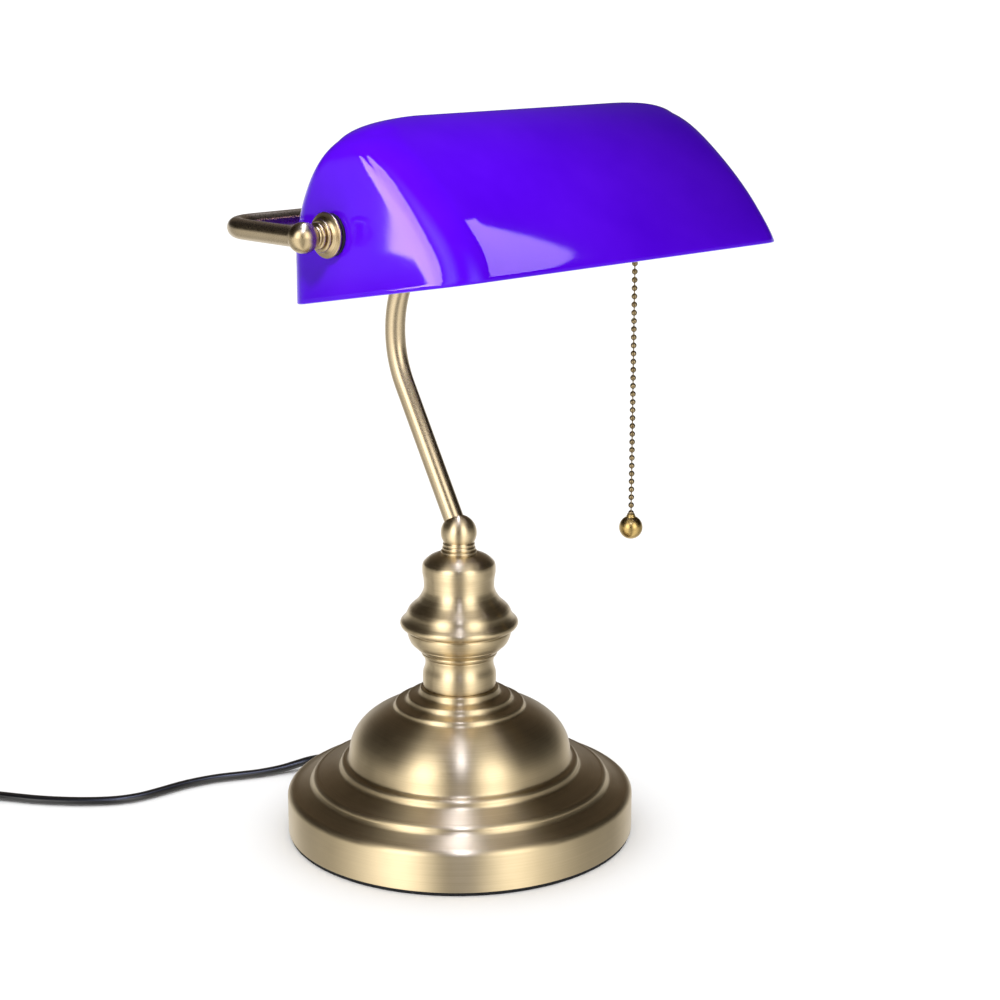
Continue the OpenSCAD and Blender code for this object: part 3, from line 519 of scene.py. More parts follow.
# the tapered relief at the back of the base, with its rings
outline = [(2.6, -3.4), (4.5, -3.4), (4.5, -1.7), (3.9, -1.6), (3.9, 0.1), (5.6, 0.15), (5.6, 1.4), (5.0, 2.2)]
for i in range(4):
    r = 4.95 - 0.17 * i
    outline += [(r, 2.6 + 2.55 * i), (r, 4.0 + 2.55 * i), (r - 0.7, 4.25 + 2.55 * i), (r - 0.7, 4.85 + 2.55 * i)]
outline += [(4.2, 12.9), (4.1, 13.8), (3.6, 14.2), (2.6, 14.2)]
lathe("cord_relief_ribbed", outline, pvc, "lamp", origin=(0, 95, 7.8), direction=(0, 1, 0), n=64, radius=0.2,
      replaces=("cord_relief",), slot="cord_black")

# ---------------------------------------------------------------- base
BASE_H = 81.6
outline = ([(5.1, BASE_H), (20.6, BASE_H)] + arc(20.8, 80.6, 0.9, 0.95, 84, 0, 8)
           + [(22.0, 78.6), (22.6, 77.9), (23.4, 77.6), (27.0, 77.1)] + arc(27.2, 75.8, 1.4, 1.3, 85, 0, 8)
           + [(29.0, 74.6), (29.6, 73.9), (30.5, 73.5), (34.0, 73.0)] + arc(34.1, 71.5, 1.5, 1.5, 85, 0, 8)
           + [(35.9, 70.6), (36.5, 70.0)]
           + [(r, 41.5 + 33.02 * (1 - (r / 61) ** 2.37) ** (1 / 2.37)) for r in 60.7 - 23.2 * np.linspace(1, 0, 44) ** 1.6]
           + [(61.0, 42.4), (61.4, 41.1), (62.2, 40.5), (63.4, 40.2)] + arc(63.5, 38.2, 2.1, 2.0, 85, 0, 10)
           + [(65.8, 37.0), (66.4, 36.1), (67.5, 35.6), (72.0, 34.3), (78.0, 32.4)] + arc(78.1, 29.9, 3.2, 2.5, 82, 0, 12)
           + [(81.9, 28.8), (82.6, 28.0), (84.0, 27.4), (87.0, 26.3), (90.2, 25.1)] + arc(90.6, 21.2, 4.4, 3.8, 80, 0, 14)
           + [(95, 15), (95, 2.1), (94.7, 1.8), (93.5, 1.8), (93.5, 20.8), (92.6, 22.2), (90, 23.4), (83.6, 25.8),
              (81.2, 27), (80.2, 28.8), (77.8, 30.6), (66.8, 33.9), (64.6, 35.3), (64, 37.3), (62.8, 38.6), (60.6, 39.1),
              (59.4, 41.4), (58.4, 49.5), (54.4, 57), (46, 63.8), (37.2, 67.9), (34.6, 69.2), (33.6, 71.3), (28.8, 72.2),
              (27.6, 73.6), (26.8, 75.3), (22, 76.1), (20.6, 77.8), (19.8, 79.8), (5.1, 79.8)])
lathe("base_cover", outline, brass_base, "lamp", n=256, radius=0.5, replaces=("base_shell",), slot="satin_brass")

# ---------------------------------------------------------------- column
FOOT, BELL, NECK = 99.3, 156.7, 163.5
lathe("column_foot_turned",
      [(5.1, BASE_H + 0.05), (19.0, BASE_H + 0.05), (19.5, 82.0), (19.8, 83.0), (20.0, 84.4), (20.05, 86.0), (20.05, 88.0),
       (19.95, 89.6), (19.7, 91.0), (19.2, 92.4), (18.8, 93.8), (18.6, 95.0), (18.6, 96.2), (18.75, 97.4), (19.0, 98.2),
       (19.15, 98.8), (19.1, FOOT), (5.1, FOOT)],
      brass_turned, "lamp", n=192, replaces=("column_foot",), slot="satin_brass")
bell = [(19.5, 99.35), (20.3, 100.2), (20.7, 101.0), (20.9, 101.6), (20.6, 102.1), (21.4, 102.6), (22.4, 103.6),
        (23.6, 104.7),
        (24.1, 105.2), (24.1, 105.6), (25.0, 106.0), (26.0, 107.0), (26.8, 108.2), (27.4, 109.6), (27.9, 111.0),
        (28.2, 112.4), (28.3, 113.6), (28.0, 114.3), (28.3, 114.9), (29.4, 115.3), (30.6, 115.8), (31.5, 116.6),
        (32.0, 117.6), (32.05, 118.4), (31.7, 119.3), (31.0, 120.1), (30.1, 121.0), (29.35, 122.0), (28.75, 123.0),
        (28.3, 124.0), (27.9, 125.0), (27.3, 126.0), (26.5, 127.0), (25.4, 128.0), (24.3, 129.0), (23.25, 130.0),
        (22.35, 131.0), (21.65, 132.0), (21.0, 133.0), (20.4, 134.0), (19.95, 135.0), (19.55, 136.0), (19.25, 137.0),
        (19.1, 138.0), (19.05, 139.5), (19.1, 141.0), (19.2, 142.5), (19.4, 144.0), (19.7, 145.5), (19.85, 147.0),
        (19.85, 149.0), (19.75, 150.2), (19.4, 151.4), (18.8, 152.2), (17.9, 153.1), (16.8, 154.0), (15.4, 154.9),
        (13.3, 155.8), (11.2, 156.5), (9.8, BELL)]
lathe("column_bell_turned",
      [(5.1, FOOT + 0.05), (19.1, FOOT + 0.05)] + rounded(bell, (100.6, 102.1, 105.4, 114.3)) + [(5.1, BELL)],
      brass_turned, "lamp", n=192, radius=0.2, replaces=("column_bell",), slot="satin_brass")
lathe("neck_rings",
      [(5.1, BELL + 0.05), (9.4, BELL + 0.05)] + arc(8.9, 157.9, 0.9, 0.8, -60, 70, 8)
      + arc(8.2, 159.9, 0.8, 0.9, -60, 60, 8) + arc(7.9, 162.0, 0.8, 0.9, -60, 60, 8) + [(8.0, NECK), (5.1, NECK)],
      brass_turned, "lamp", n=96, radius=0.15, replaces=("neck_collar",), slot="satin_brass")
BALL_Z = 168.3
lathe("column_ball_turned",
      [(0, NECK + 0.05), (8.3, NECK + 0.05)] + arc(0, BALL_Z, 9.7, 9.7, -29.4, 90, 40),
      brass_turned, "lamp", n=96, radius=0.2, replaces=("column_ball",), slot="satin_brass")

# ---------------------------------------------------------------- stem and yoke
LEAN, RETURN = math.radians(29.5), math.radians(22.0)
RUN, BEND, PIVOT_Z = 85.6, 59.0, 341.0


def lean(a):
    return np.array([0.0, math.sin(a), math.cos(a)])


ball_at = np.array([0, 0, BALL_Z])
bend_in = ball_at + RUN * lean(LEAN)
bend_at = bend_in + BEND * np.array([0, -math.cos(LEAN), math.sin(LEAN)])
bend_out = bend_at + BEND * np.array([0, math.cos(RETURN), math.sin(RETURN)])
return_run = (PIVOT_Z - bend_out[2]) / math.cos(RETURN)
tee_at = bend_out + return_run * lean(-RETURN)
BAR_Y = float(tee_at[1])
PIVOT_X, PIVOT_Y = 130.5, -35.3
path = [tuple(ball_at + s * lean(LEAN)) for s in np.linspace(5, RUN, 10)]
path += [tuple(bend_at + BEND * np.array([0, math.cos(w), math.sin(w)]))
         for w in np.linspace(-LEAN, RETURN, 40)[1:]]
path += [tuple(bend_out + s * lean(-RETURN)) for s in np.linspace(0, return_run - 5.4, 8)[1:]]
finish_mesh("stem_bent", *sweep_data(path, circle(5.5, 64), up=(1, 0, 0)), brass_tube_shaded, "lamp",
            replaces=("stem_tube",), slot="satin_brass", sharp=60)
# tee: a ball with a collar towards each tube
parts = [lathe_data(soften([(0, -9)] + arc(0, 0, 9, 9, -89, 89, 40) + [(0, 9)], 0.2), tee_at, (1, 0, 0), 64)]
for d in ((1, 0, 0), (-1, 0, 0)):
    parts.append(lathe_data(soften([(5.02, 5.5), (6.4, 5.5), (6.4, 9.8), (6.1, 10.5), (5.02, 10.5)], 0.3), tee_at, d, 64))
parts.append(lathe_data(soften([(5.52, 5), (7, 5), (7, 10.3), (6.6, 11), (5.52, 11)], 0.3), tee_at,
                        tuple(-lean(-RETURN)), 64))
finish_mesh("yoke_tee_cast", *join(parts), brass_tube_shaded, "lamp", replaces=("yoke_tee",), slot="satin_brass")
YB = 17.5
for side, tag in ((1, "right"), (-1, "left")):
    path = [(side * x, BAR_Y, PIVOT_Z) for x in np.linspace(4.6, PIVOT_X - YB, 12)]
    path += [(side * (PIVOT_X - YB + YB * math.sin(w)), BAR_Y - YB + YB * math.cos(w), PIVOT_Z)
             for w in np.radians(np.linspace(0, 90, 25))[1:]]
    path += [(side * PIVOT_X, y, PIVOT_Z) for y in np.linspace(BAR_Y - YB, PIVOT_Y + 5, 8)[1:]]
    finish_mesh(f"yoke_arm_{tag}_bent", *sweep_data(path, circle(5.0, 64)), brass_tube_shaded, "lamp",
                replaces=(f"yoke_arm_{tag}",), slot="satin_brass", sharp=60)

# ---------------------------------------------------------------- pivots
RUBBER, CLEAR = 1.5, 0.2                  # rubber washer, clearance of the turning fit
GLASS_S = PIVOT_X - 113.2
INNER_S = GLASS_S + 3.5
NUT_S = INNER_S + RUBBER + CLEAR + 1.2
FLANGE_END = GLASS_S - RUBBER - CLEAR
for side, tag in ((1, "right"), (-1, "left")):
    at = (side * PIVOT_X, PIVOT_Y, PIVOT_Z)
    inward = (-side, 0, 0)
    lathe(f"pivot_ball_{tag}_turned", [(0, -7.4)] + arc(0, 0, 7.4, 7.4, -90, 57, 36) + [(4.03, 6.2), (0, 6.2)],
          brass_pivot_shaded, "lamp", origin=at, direction=inward, n=96, radius=0.2,
          replaces=(f"pivot_ball_{tag}",), slot="satin_brass")
    lathe(f"pivot_collar_{tag}_turned",
          [(4.03, 6.25), (4.8, 6.25), (5.0, 6.95)] + arc(5.3, 8, 1.15, 0.95, -75, 75, 10) + [(5.5, 9.1)]
          + arc(6.7, 10.1, 1.25, 0.95, -75, 75, 10) + [(6.5, 11.15), (4.03, 11.15)],
          brass_pivot_shaded, "lamp", origin=at, direction=inward, n=96, radius=0.15,
          replaces=(f"pivot_collar_{tag}",), slot="satin_brass")
    lathe(f"pivot_flange_{tag}_turned",
          [(4.03, 11.2), (7.0, 11.2), (7.6, 11.5), (8.6, 12.3), (10.2, 12.85)] + arc(10.3, 13.7, 0.7, 0.85, -70, 85, 8)
          + [(9.9, 14.6), (9.8, FLANGE_END), (4.03, FLANGE_END)],
          brass_pivot_shaded, "lamp", origin=at, direction=inward, n=96, radius=0.2,
          replaces=(f"pivot_flange_{tag}",), slot="satin_brass")
    lathe(f"outer_washer_{tag}_soft", [(4.06, GLASS_S - RUBBER), (10.3, GLASS_S - RUBBER), (10.3, GLASS_S), (4.06, GLASS_S)],
          rubber, "shade", origin=at, direction=inward, n=96, radius=0.4,
          replaces=(f"outer_washer_{tag}",), slot="black_rubber")
    lathe(f"inner_washer_{tag}_soft", [(4.06, INNER_S), (10.0, INNER_S), (10.0, INNER_S + RUBBER), (4.06, INNER_S + RUBBER)],
          rubber, "shade", origin=at, direction=inward, n=96, radius=0.4,
          replaces=(f"inner_washer_{tag}",), slot="black_rubber")


def threaded(r, depth, start, end, pitch):
    """The outside of a threaded stud as rings of a rounded thread."""
    out, h = [], start
    while h < end - pitch:
        out += [(r - depth, h), (r, h + 0.5 * pitch)]
        h += pitch
    return out + [(r - depth, h)]


SOCKET_S = NUT_S + 4 + 0.2
for side, tag, long in ((1, "right", SOCKET_S + 6.2), (-1, "left", NUT_S + 5.2)):
    at = (side * PIVOT_X, PIVOT_Y, PIVOT_Z)
    lathe(f"nipple_{tag}_threaded", [(2.7, 1.2)] + [(4.0, 1.2), (4.0, NUT_S - 1.2)]
          + threaded(3.98, 0.35, NUT_S - 1.1, long - 0.4, 1.0) + [(3.6, long), (2.7, long)],
          steel, "lamp", origin=at, direction=(-side, 0, 0), n=64, radius=0.1,
          replaces=(f"pivot_nipple_{tag}",), slot="tube_steel")


def hexagon_nut(across, h, bore, origin, direction):
    """A nut with chamfered corners."""
    side, up, d = axis_frame(direction)
    o = Vector(origin)
    verts, faces, n = [], [], 72
    rows = []
    for level, shrink in ((0.0, 0.86), (0.5, 1.0), (h - 0.5, 1.0), (h, 0.86)):
        row = []
        for j in range(n):
            w = 2 * math.pi * j / n
            flat = across / 2 / math.cos((w + math.pi / 6) % (math.pi / 3) - math.pi / 6)
            r = flat if shrink == 1.0 else min(flat, across / 2 * 1.02)
            row.append(len(verts))
            verts.append(tuple(o + side * (r * math.cos(w)) + up * (r * math.sin(w)) + d * level))
        rows.append(row)
    for level in (h, 0.0):
        row = []
        for j in range(n):
            w = 2 * math.pi * j / n
            row.append(len(verts))
            verts.append(tuple(o + side * (bore * math.cos(w)) + up * (bore * math.sin(w)) + d * level))
        rows.append(row)
    for i in range(6):
        a, b = rows[i], rows[(i + 1) % 6]
        for j in range(n):
            k = (j + 1) % n
            faces.append([a[j], a[k], b[k], b[j]])
    return verts, faces


finish_mesh("pivot_nuts_hex", *join([hexagon_nut(13, 4, 4.03, (s * (PIVOT_X - NUT_S), PIVOT_Y, PIVOT_Z), (-s, 0, 0))
                                     for s in (1, -1)]),
            brass_pivot_shaded, "lamp", replaces=("pivot_nuts",), slot="satin_brass", sharp=25)
finish_mesh("backing_washers_flat",
            *join([lathe_data(soften([(4.03, NUT_S - 1.2), (9, NUT_S - 1.2), (9, NUT_S), (4.03, NUT_S)], 0.25),
                              (s * PIVOT_X, PIVOT_Y, PIVOT_Z), (-s, 0, 0), 96) for s in (1, -1)]),
            brass_pivot_shaded, "lamp", replaces=("backing_washers",), slot="satin_brass")

# ---------------------------------------------------------------- socket
right_ball = (PIVOT_X, PIVOT_Y, PIVOT_Z)
inward = (-1, 0, 0)
CAP_END = SOCKET_S + 13
SHELL_END = CAP_END + 45
BODY_END = CAP_END + 21
SHELL_R = 17.2
lathe("socket_cap_spun", [(4.03, SOCKET_S), (6.4, SOCKET_S), (6.5, SOCKET_S + 3)]
      + bezier([(7.2, SOCKET_S + 4), (12.4, SOCKET_S + 5.2), (15.6, SOCKET_S + 7.6), (16.6, SOCKET_S + 11)], 16)
      + [(SHELL_R + 0.1, SOCKET_S + 11.4), (SHELL_R + 0.1, CAP_END), (16.2, CAP_END), (15.4, CAP_END - 2.4),
         (11.8, SOCKET_S + 7.6), (8, SOCKET_S + 6), (4.03, SOCKET_S + 5.4)],
      brass_pivot_shaded, "lamp", origin=right_ball, direction=inward, n=128, radius=0.3,
      replaces=("socket_cap",), slot="satin_brass")
lathe("socket_shell_spun", [(SHELL_R - 0.1, CAP_END + 0.05), (SHELL_R, CAP_END + 3.4), (SHELL_R + 0.35, CAP_END + 4.2),
                            (SHELL_R, CAP_END + 5.0), (SHELL_R, CAP_END + 23), (SHELL_R + 0.35, CAP_END + 23.8),
                            (SHELL_R, CAP_END + 24.6), (SHELL_R, SHELL_END - 2), (SHELL_R + 0.7, SHELL_END - 1.2),
                            (SHELL_R + 0.5, SHELL_END), (SHELL_R - 0.8, SHELL_END), (SHELL_R - 0.8, CAP_END + 0.05)],
      brass_pivot_shaded, "lamp", origin=right_ball, direction=inward, n=128, radius=0.25,
      replaces=("socket_shell",), slot="satin_brass")
shell_wave = [(14.3, BODY_END + 0.05)]
for i in range(5):
    shell_wave += [(14.3, BODY_END + 2.2 + 3.6 * i), (13.75, BODY_END + 4.0 + 3.6 * i)]
shell_wave += [(14.3, SHELL_END - 2), (13.7, SHELL_END - 2)]
for i in range(4, -1, -1):
    shell_wave += [(13.15, BODY_END + 4.0 + 3.6 * i), (13.7, BODY_END + 2.2 + 3.6 * i)]
shell_wave += [(13.7, BODY_END + 0.85), (6, BODY_END + 0.85), (6, BODY_END + 0.05)]
lathe("screw_shell_rolled", shell_wave, brass_bright, "lamp", origin=right_ball, direction=inward, n=96, radius=0.6,
      replaces=("screw_shell",), slot="contact_brass")

GUIDE = np.array([0.0, -math.cos(math.radians(45)), -math.sin(math.radians(45))])
guide_at = np.array([79.6, PIVOT_Y, PIVOT_Z])
lathe("chain_guide_bell", [(2.2, 13.6), (3.4, 13.6), (3.4, 17.3), (4.4, 17.8), (4.4, 19.0), (3, 19.6), (2.9, 21.8),
                           (3.3, 23.2), (4.3, 24.2), (3.95, 24.3), (2.9, 23.2), (2.3, 22.2), (2.2, 21.8)],
      brass_bright, "lamp", origin=guide_at, direction=tuple(GUIDE), n=64, radius=0.3,
      replaces=("chain_guide",), slot="satin_brass")

# ---------------------------------------------------------------- pull chain
BEAD_R, PITCH, BEADS = 1.6, 4.4, 35
MOUTH = guide_at + 24.0 * GUIDE


def bead_at(i):
    return MOUTH - np.array([0, 0, i * PITCH])


def bead_data(centre, direction=(0, 0, 1)):
    """A rolled hollow bead: a ball with a drawn-in rim at each end where the link goes through."""
    outline = [(0.42, -BEAD_R * 0.86), (0.56, -BEAD_R * 0.97)] + arc(0, 0, BEAD_R, BEAD_R, -68, 68, 18)
    outline += [(0.56, BEAD_R * 0.97), (0.42, BEAD_R * 0.86)]
    return lathe_data(outline, centre, direction, 28)


def link_data(a, b):
    """The dumb-bell wire between two beads."""
    a, b = Vector(a), Vector(b)
    d = (b - a).length
    outline = [(0, 0.7), (0.52, 0.75), (0.62, 1.0), (0.5, 1.35), (0.34, 1.7), (0.34, d - 1.7), (0.5, d - 1.35),
               (0.62, d - 1.0), (0.52, d - 0.75), (0, d - 0.7)]
    return lathe_data(outline, a, tuple(b - a), 16)


finish_mesh("chain_top_bead_rolled", *join([bead_data(bead_at(0))]), brass_chain, "chain_top",
            replaces=("chain_top_bead",), slot="chain_brass", sharp=50)
finish_mesh("chain_link_bead_rolled", *join([bead_data(bead_at(1)), link_data(bead_at(0), bead_at(1))]), brass_chain,
            "chain_link", replaces=("chain_link_bead",), slot="chain_brass", sharp=50)
parts = [bead_data(bead_at(i)) for i in range(2, BEADS)]
parts += [link_data(bead_at(i), bead_at(i + 1)) for i in range(1, BEADS - 1)]
finish_mesh("pull_chain_rolled", *join(parts), brass_chain, "chain", replaces=("pull_chain",), slot="chain_brass", sharp=50)
PULL_R = 6.4
PULL_Z = float(bead_at(BEADS - 1)[2]) - BEAD_R - PULL_R
PULL_TOP = PULL_Z + PULL_R
outline = ([(0, PULL_Z - PULL_R)] + arc(0, PULL_Z, PULL_R, PULL_R, -89, 66, 44)
           + [(2.55, PULL_TOP - 0.4), (2.5, PULL_TOP), (2.15, PULL_TOP + 0.5), (2.15, PULL_TOP + 1.0), (1.9, PULL_TOP + 1.2),
              (1.64, PULL_TOP + 1.0), (1.64, PULL_TOP - 0.02), (0, PULL_TOP - 0.02)])
lathe("pull_ball_turned", outline, brass_ball, "chain", origin=(MOUTH[0], MOUTH[1], 0), n=96, radius=0.15,
      replaces=("pull_ball",), slot="ball_brass")

# ---------------------------------------------------------------- bulb
TIP_S = BODY_END + 0.05 + 2.2 + 0.05
CAP_LOW = TIP_S + 4.6
NECK_S = TIP_S + 25
opal, t, p = new_material("bulb_opal")
t.links.new(ramp(t, noise(t, object_coords(t), 500.0), 0.22, 0.34), p.inputs["Roughness"])
t.links.new(mix(t, noise(t, object_coords(t), 60.0), (0.93, 0.93, 0.91), (0.97, 0.97, 0.96)), p.inputs["Base Color"])
p.inputs["Subsurface Weight"].default_value = 0.3
p.inputs["Subsurface Scale"].default_value = 0.004
p.inputs["Coat Weight"].default_value = 0.3
lathe("bulb_globe", [(12.4, NECK_S + 0.02), (13.0, NECK_S + 0.02), (13.3, NECK_S + 3)]
      + arc(0, NECK_S + 27, 22.5, 22.5, -54, 90, 48) + arc(0, NECK_S + 27, 21.6, 21.6, 90, -52, 24)
      + [(12.5, NECK_S + 3.4)], opal, "lamp", origin=right_ball, direction=inward, n=128, radius=0.5,
      replaces=("bulb_glass",), slot="bulb_opal")
outline = [(0, CAP_LOW), (12, CAP_LOW)]
for i in range(5):
    outline += [(13.1, CAP_LOW + 1.2 + 3.4 * i), (12.35, CAP_LOW + 2.9 + 3.4 * i)]
outline += [(13.0, CAP_LOW + 17.8), (13.0, CAP_LOW + 20.36), (0, CAP_LOW + 20.36)]
lathe("bulb_cap_rolled", outline, nickel, "lamp", origin=right_ball, direction=inward, n=96, radius=0.9,
      replaces=("bulb_cap",), slot="cap_nickel")

# ---------------------------------------------------------------- glass shade
H, FRONT, BACK, HALF, THICK = 81.0, 67.5, 62.0, 113.2, 3.5
CORNER, CREST_HALF, SHOULDER = 18.5, 61.0, 57.6
FLARE, FLARE_H = 2.4, 18.0                # the ends spread towards the rim
HOLE_BACK, HOLE_UP = 19.5, 30.0           # the pivot hole from the ridge and from the rim
curve_t = np.linspace(0, 1, 400)


def cubic(p, t):
    s = 1 - t
    return s ** 3 * p[0] + 3 * s * s * t * p[1] + 3 * s * t * t * p[2] + t ** 3 * p[3]


def by_height(xs, zs):
    z = cubic(zs, curve_t)
    return z, cubic(xs, curve_t)


front_z, front_x = by_height((FRONT, FRONT - 3.1, 13.0, 0.0), (0.0, 0.326 * H, H, H))
back_z, back_x = by_height((BACK, BACK + 5.4, 0.31 * BACK, 0.0), (0.0, 0.615 * H, H, H))
end_z, end_x = by_height((HALF, HALF - 0.6, HALF - 1, CREST_HALF), (SHOULDER, 0.895 * H, H, H))


def end_half(z):
    if z < FLARE_H:
        return HALF + FLARE * (1 - z / FLARE_H) ** 1.6
    return HALF if z < SHOULDER else float(np.interp(z, end_z, end_x))


def plan(x, f, b, r, corner=14, long=28, short=10):
    out = []
    corners = ((x - r, b - r, 0), (r - x, b - r, 90), (r - x, r - f, 180), (x - r, r - f, 270))
    for c, (cx, cy, a0) in enumerate(corners):
        for i in range(corner + 1):
            w = math.radians(a0 + 90 * i / corner)
            out.append((cx + r * math.cos(w), cy + r * math.sin(w)))
        nx, ny, na = corners[(c + 1) % 4]
        start = np.array(out[-1])
        end = np.array((nx + r * math.cos(math.radians(na)), ny + r * math.sin(math.radians(na))))
        steps = long if c % 2 == 0 else short
        for i in range(1, steps):
            out.append(tuple(start + (end - start) * i / steps))
    return out


TILT = math.radians(-10.5)


def shade_level(a, k):
    z = H * min(math.sin(math.radians(a)), 0.999995)
    f = float(np.interp(z, front_z, front_x)) * (1 - k / FRONT)
    b = float(np.interp(z, back_z, back_x)) * (1 - k / BACK)
    x = end_half(z) * (1 - k / HALF)
    r = min(CORNER - k, 0.98 * (f + b) / 2, 0.98 * x)
    zz = z * (1 - k / H)
    rows = []
    for px, py in plan(x, f, b, r):
        y, h = py - HOLE_BACK, zz - HOLE_UP
        rows.append((px, PIVOT_Y + y * math.cos(TILT) - h * math.sin(TILT),
                     PIVOT_Z + y * math.sin(TILT) + h * math.cos(TILT)))
    return rows


angles = [90 * i / 72 for i in range(73)]
outer = [shade_level(a, 0.0) for a in angles]
inner = [shade_level(a, THICK) for a in angles]
n = len(outer[0])
# the rim: a small rounding between the outer and the inner face
rim = []
for k in range(1, 6):
    w = math.pi * k / 6
    t_in = (1 - math.cos(w)) / 2
    drop = 0.9 * math.sin(w)
    row = []
    for a, b in zip(outer[0], inner[0]):
        p = np.array(a) * (1 - t_in) + np.array(b) * t_in
        row.append((p[0], p[1] + drop * math.sin(TILT), p[2] - drop * math.cos(TILT)))
    rim.append(row)
rows = outer[::-1] + rim + inner
verts = [v for row in rows for v in row]
faces, kinds = [], []
split = len(outer) + 3
for i in range(len(rows) - 1):
    for j in range(n):
        k = (j + 1) % n
        faces.append([i * n + j, (i + 1) * n + j, (i + 1) * n + k, i * n + k])
        kinds.append(0 if i < split else 1)
faces.append(list(range(n)))
kinds.append(0)
last = (len(rows) - 1) * n
faces.append([last + j for j in range(n - 1, -1, -1)])
kinds.append(1)

violet, t, p = new_material("shade_violet")
coords = object_coords(t)
swirl = noise(t, coords, 9.0, 4.0, 0.6)
t.links.new(mix(t, ramp(t, swirl, 0.0, 1.0, 0.3, 0.7), (0.085, 0.0, 0.82), (0.120, 0.004, 0.95)), p.inputs["Base Color"])
t.links.new(ramp(t, noise(t, coords, 40.0), 0.03, 0.06), p.inputs["Roughness"])
wave = noise(t, coords, 14.0, 2.0)
t.links.new(bump(t, wave, 0.05, 0.002), p.inputs["Normal"])
p.inputs["IOR"].default_value = 1.52
p.inputs["Specular IOR Level"].default_value = 0.12
white_inside, t, p = new_material("shade_opal")
t.links.new(mix(t, noise(t, object_coords(t), 30.0), (0.84, 0.84, 0.88), (0.92, 0.92, 0.95)), p.inputs["Base Color"])
t.links.new(ramp(t, noise(t, object_coords(t), 200.0), 0.12, 0.2), p.inputs["Roughness"])
shade = finish_mesh("shade_blown", verts, faces, violet, "shade", replaces=("shade_glass",), slot="shade_purple",
                    sharp=50, mats=[violet, white_inside], face_mats=kinds)

# ---------------------------------------------------------------- the CAD pieces that stay
KEEP = {
    "base_weight": iron, "base_plate": steel, "base_pad": felt, "plate_screws": screw_steel, "terminal_block": nylon,
    "cord_inner_end": pvc, "inner_lead": lead_skin, "column_rod": steel, "rod_washer": steel, "rod_nut": steel,
    "pivot_bushes": nylon, "socket_body": bakelite, "socket_sleeve": fibre, "centre_contact": brass_bright,
    "switch_lever": brass_bright, "bulb_insulator": bakelite, "bulb_filament": phosphor,
}
for name, material in KEEP.items():
    mesh = nodes[name].data
    mesh.materials.clear()
    mesh.materials.append(material)
    mesh.polygons.foreach_set("use_smooth", [True] * len(mesh.polygons))
    mesh.set_sharp_from_angle(angle=math.radians(30))

# ---------------------------------------------------------------- floor, light
floor_mesh = bpy.data.meshes.new("floor")
floor_mesh.from_pydata([(-90, -90, 0), (90, -90, 0), (90, 90, 0), (-90, 90, 0)], [], [(0, 1, 2, 3)])
floor = bpy.data.objects.new("floor", floor_mesh)
floor.location = (0, 0, -0.0002)
scene.collection.objects.link(floor)
floor.visible_glossy = False
floor_mat, t, p = new_material("floor_white")
t.links.new(mix(t, noise(t, object_coords(t), 3.0), (0.93, 0.93, 0.93), (0.95, 0.95, 0.95)), p.inputs["Base Color"])
p.inputs["Roughness"].default_value = 1.0
p.inputs["Specular IOR Level"].default_value = 0.0
floor_mesh.materials.append(floor_mat)


def around(angle, distance, height):
    """A place by its angle round the lamp from the camera's side, to the picture's right."""
    a = math.radians(angle)
    d = to_camera * math.cos(a) + to_right * math.sin(a)
    return Vector((d.x * distance, d.y * distance, height))


def softbox(name, place, size, size_y, power, color=(1, 1, 1), diffuse=True):
    """A rectangular light that faces the lamp."""
    data = bpy.data.lights.new(name, "AREA")
    data.shape = "RECTANGLE"
    data.size, data.size_y = size, size_y
    data.energy = power
    data.color = color
    light = bpy.data.objects.new(name, data)
    scene.collection.objects.link(light)
    light.location = place
    light.rotation_euler = (Vector((0, 0, 0.2)) - place).to_track_quat("-Z", "Y").to_euler()
    light.visible_camera = False
    light.visible_diffuse = diffuse
    return light


top_light = softbox("softbox_top", around(3, 0.12, 1.5), 0.16, 2.2, 25.0, (0.60, 0.67, 1.0), False)


def only_on(light, *objects):
    """The light falls on these objects alone."""
    group = bpy.data.collections.new(light.name + "_on")
    for obj in objects:
        group.objects.link(obj)
    light.light_linking.receiver_collection = group
    return group


def panel(name, place, face, up, width, height, power):
    """A narrow softbox that only the glass mirrors; the glass tints what it mirrors."""
    light = softbox(name, Vector(place), width, height, power, (1.0, 0.68, 0.90), False)
    z = -Vector(face).normalized()
    y = (Vector(up) - Vector(up).dot(z) * z).normalized()
    light.rotation_euler = Matrix((y.cross(z), y, z)).transposed().to_euler()
    only_on(light, shade)


def from_glass(x, y, z, angle, elevation):
    """A place a metre away from a point on the glass, and the way back."""
    a, e = math.radians(angle), math.radians(elevation)
    d = (to_camera * math.cos(a) + to_right * math.sin(a)) * math.cos(e) + Vector((0, 0, math.sin(e)))
    return Vector((x, y, z)) + d, -d


# the overhead softbox lights everything but the shade
for member in only_on(top_light, shade).collection_objects:
    member.light_linking.link_state = "EXCLUDE"
GLASS_CORNER = (-0.113, -0.085, 0.345)
panel("panel_end", *from_glass(*GLASS_CORNER, -87.6, 1), (0, 0, 1), 0.267, 0.39, 9.3)
panel("panel_corner", *from_glass(*GLASS_CORNER, -71.5, 13), (0, 0, 1), 0.30, 0.85, 23.0)
panel("panel_front", (0.573, -0.580, 0.873), (-0.735, 0.363, -0.573), (-0.102, 0.776, 0.622), 0.14, 0.76, 4.6)

sky = bpy.data.lights.new("overcast", "SUN")
sky.energy = 3.3
sky.angle = math.radians(150)
sky_light = bpy.data.objects.new("overcast", sky)
scene.collection.objects.link(sky_light)
only_on(sky_light, floor)

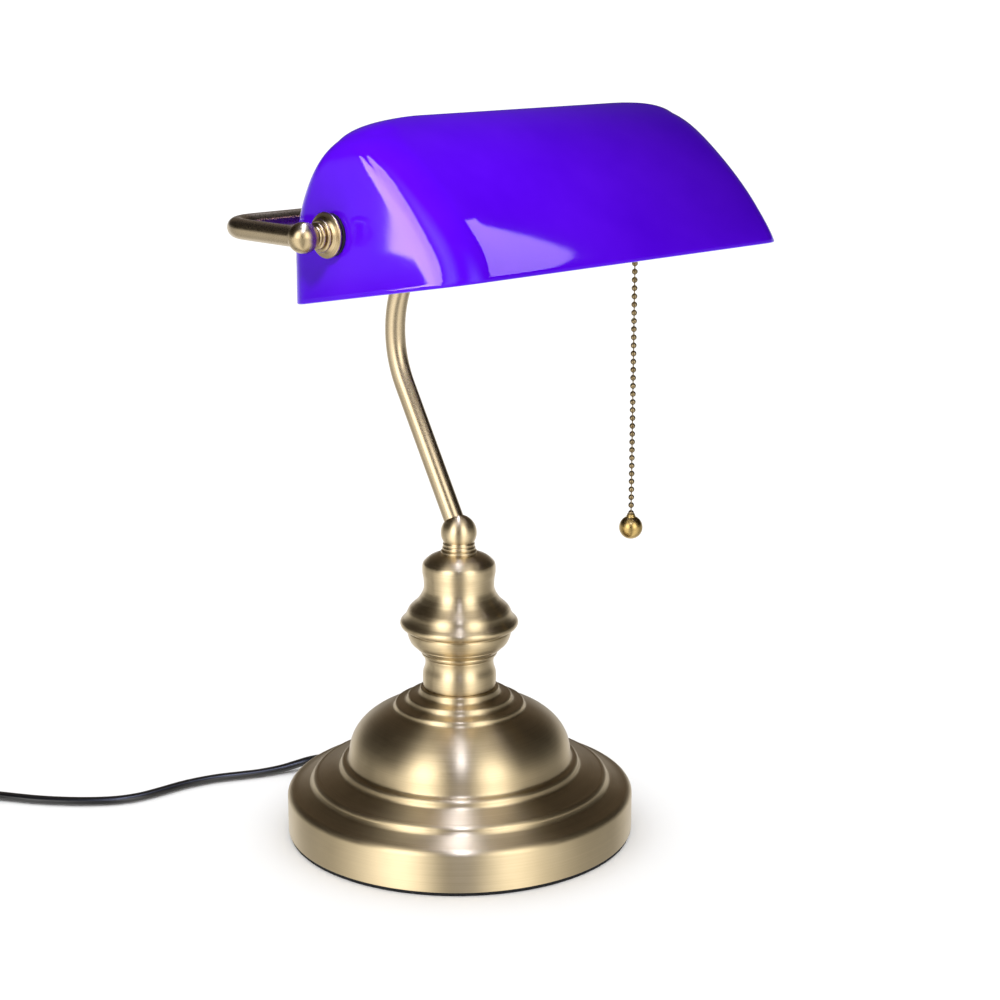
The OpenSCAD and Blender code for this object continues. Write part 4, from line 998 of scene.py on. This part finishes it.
beam = bpy.data.lights.new("gridded_spot", "SPOT")
beam.energy = 40.0
beam.spot_size = math.radians(16.6)
beam.spot_blend = 1.0
beam.shadow_soft_size = 0.09
beam_light = bpy.data.objects.new("gridded_spot", beam)
scene.collection.objects.link(beam_light)
beam_light.location = (-0.62, -0.45, 0.85)
beam_light.rotation_euler = (Vector((-0.06, -0.08, 0.365)) - beam_light.location).to_track_quat("-Z", "Y").to_euler()
beam_light.visible_glossy = False
only_on(beam_light, shade)

# the room: white for the camera, dim grey for matt surfaces; polished surfaces see a bright panel on
# each side of the camera, a pale floor, dark flags at the sides and a white backdrop low behind the lamp
world = bpy.data.worlds.new("studio")
scene.world = world
world.use_nodes = True
t = world.node_tree
background = t.nodes["Background"]
rays = t.nodes.new("ShaderNodeLightPath")
where = t.nodes.new("ShaderNodeTexCoord")


def toward(direction):
    dot = t.nodes.new("ShaderNodeVectorMath")
    dot.operation = "DOT_PRODUCT"
    t.links.new(where.outputs["Generated"], dot.inputs[0])
    dot.inputs[1].default_value = direction
    return dot.outputs["Value"]


def round_the_lamp(stops):
    """Brightness by the angle from the camera's side, in degrees."""
    n = t.nodes.new("ShaderNodeValToRGB")
    t.links.new(turn, n.inputs[0])
    ramp_stops = n.color_ramp.elements
    while len(ramp_stops) < len(stops):
        ramp_stops.new(0.5)
    for e, (degrees, v) in zip(ramp_stops, stops):
        e.position = degrees / 180
        e.color = (v, v * 0.985, v * 0.96, 1.0) if v > 0.3 else (v, v * 0.80, v * 0.62, 1.0)
    return n.outputs[0]


angle = math_node(t, "ARCTAN2", toward(to_right), toward(to_camera))
turn = math_node(t, "MULTIPLY", math_node(t, "ABSOLUTE", angle), 1 / math.pi)
height = toward((0, 0, 1))
low = round_the_lamp([(0, 0.55), (10, 0.55), (22, 1.2), (36, 2.0), (60, 1.6), (92, 0.72), (122, 0.55), (146, 1.1),
                      (180, 1.1)])
middle = round_the_lamp([(0, 0.15), (9, 0.15), (18, 1.5), (30, 4.3), (44, 4.3), (57, 1.3), (70, 0.03), (140, 0.02),
                         (160, 0.12), (180, 0.13)])
high = round_the_lamp([(0, 0.10), (60, 0.05), (180, 0.05)])
glossy = mix(t, ramp(t, height, 0.0, 1.0, 0.0, 0.12), low, middle)
glossy = mix(t, ramp(t, height, 0.0, 1.0, 0.58, 0.86), glossy, high)
uneven = ramp(t, toward(to_right), 1.15, 0.85, -1.0, 1.0)
for_glossy = t.nodes.new("ShaderNodeVectorMath")
for_glossy.operation = "SCALE"
t.links.new(glossy, for_glossy.inputs[0])
t.links.new(uneven, for_glossy.inputs["Scale"])
glossy = for_glossy.outputs[0]
seen = mix(t, rays.outputs["Is Glossy Ray"], (0.17, 0.17, 0.17), glossy)
t.links.new(mix(t, rays.outputs["Is Camera Ray"], seen, (1.0, 1.0, 1.0)), background.inputs["Color"])
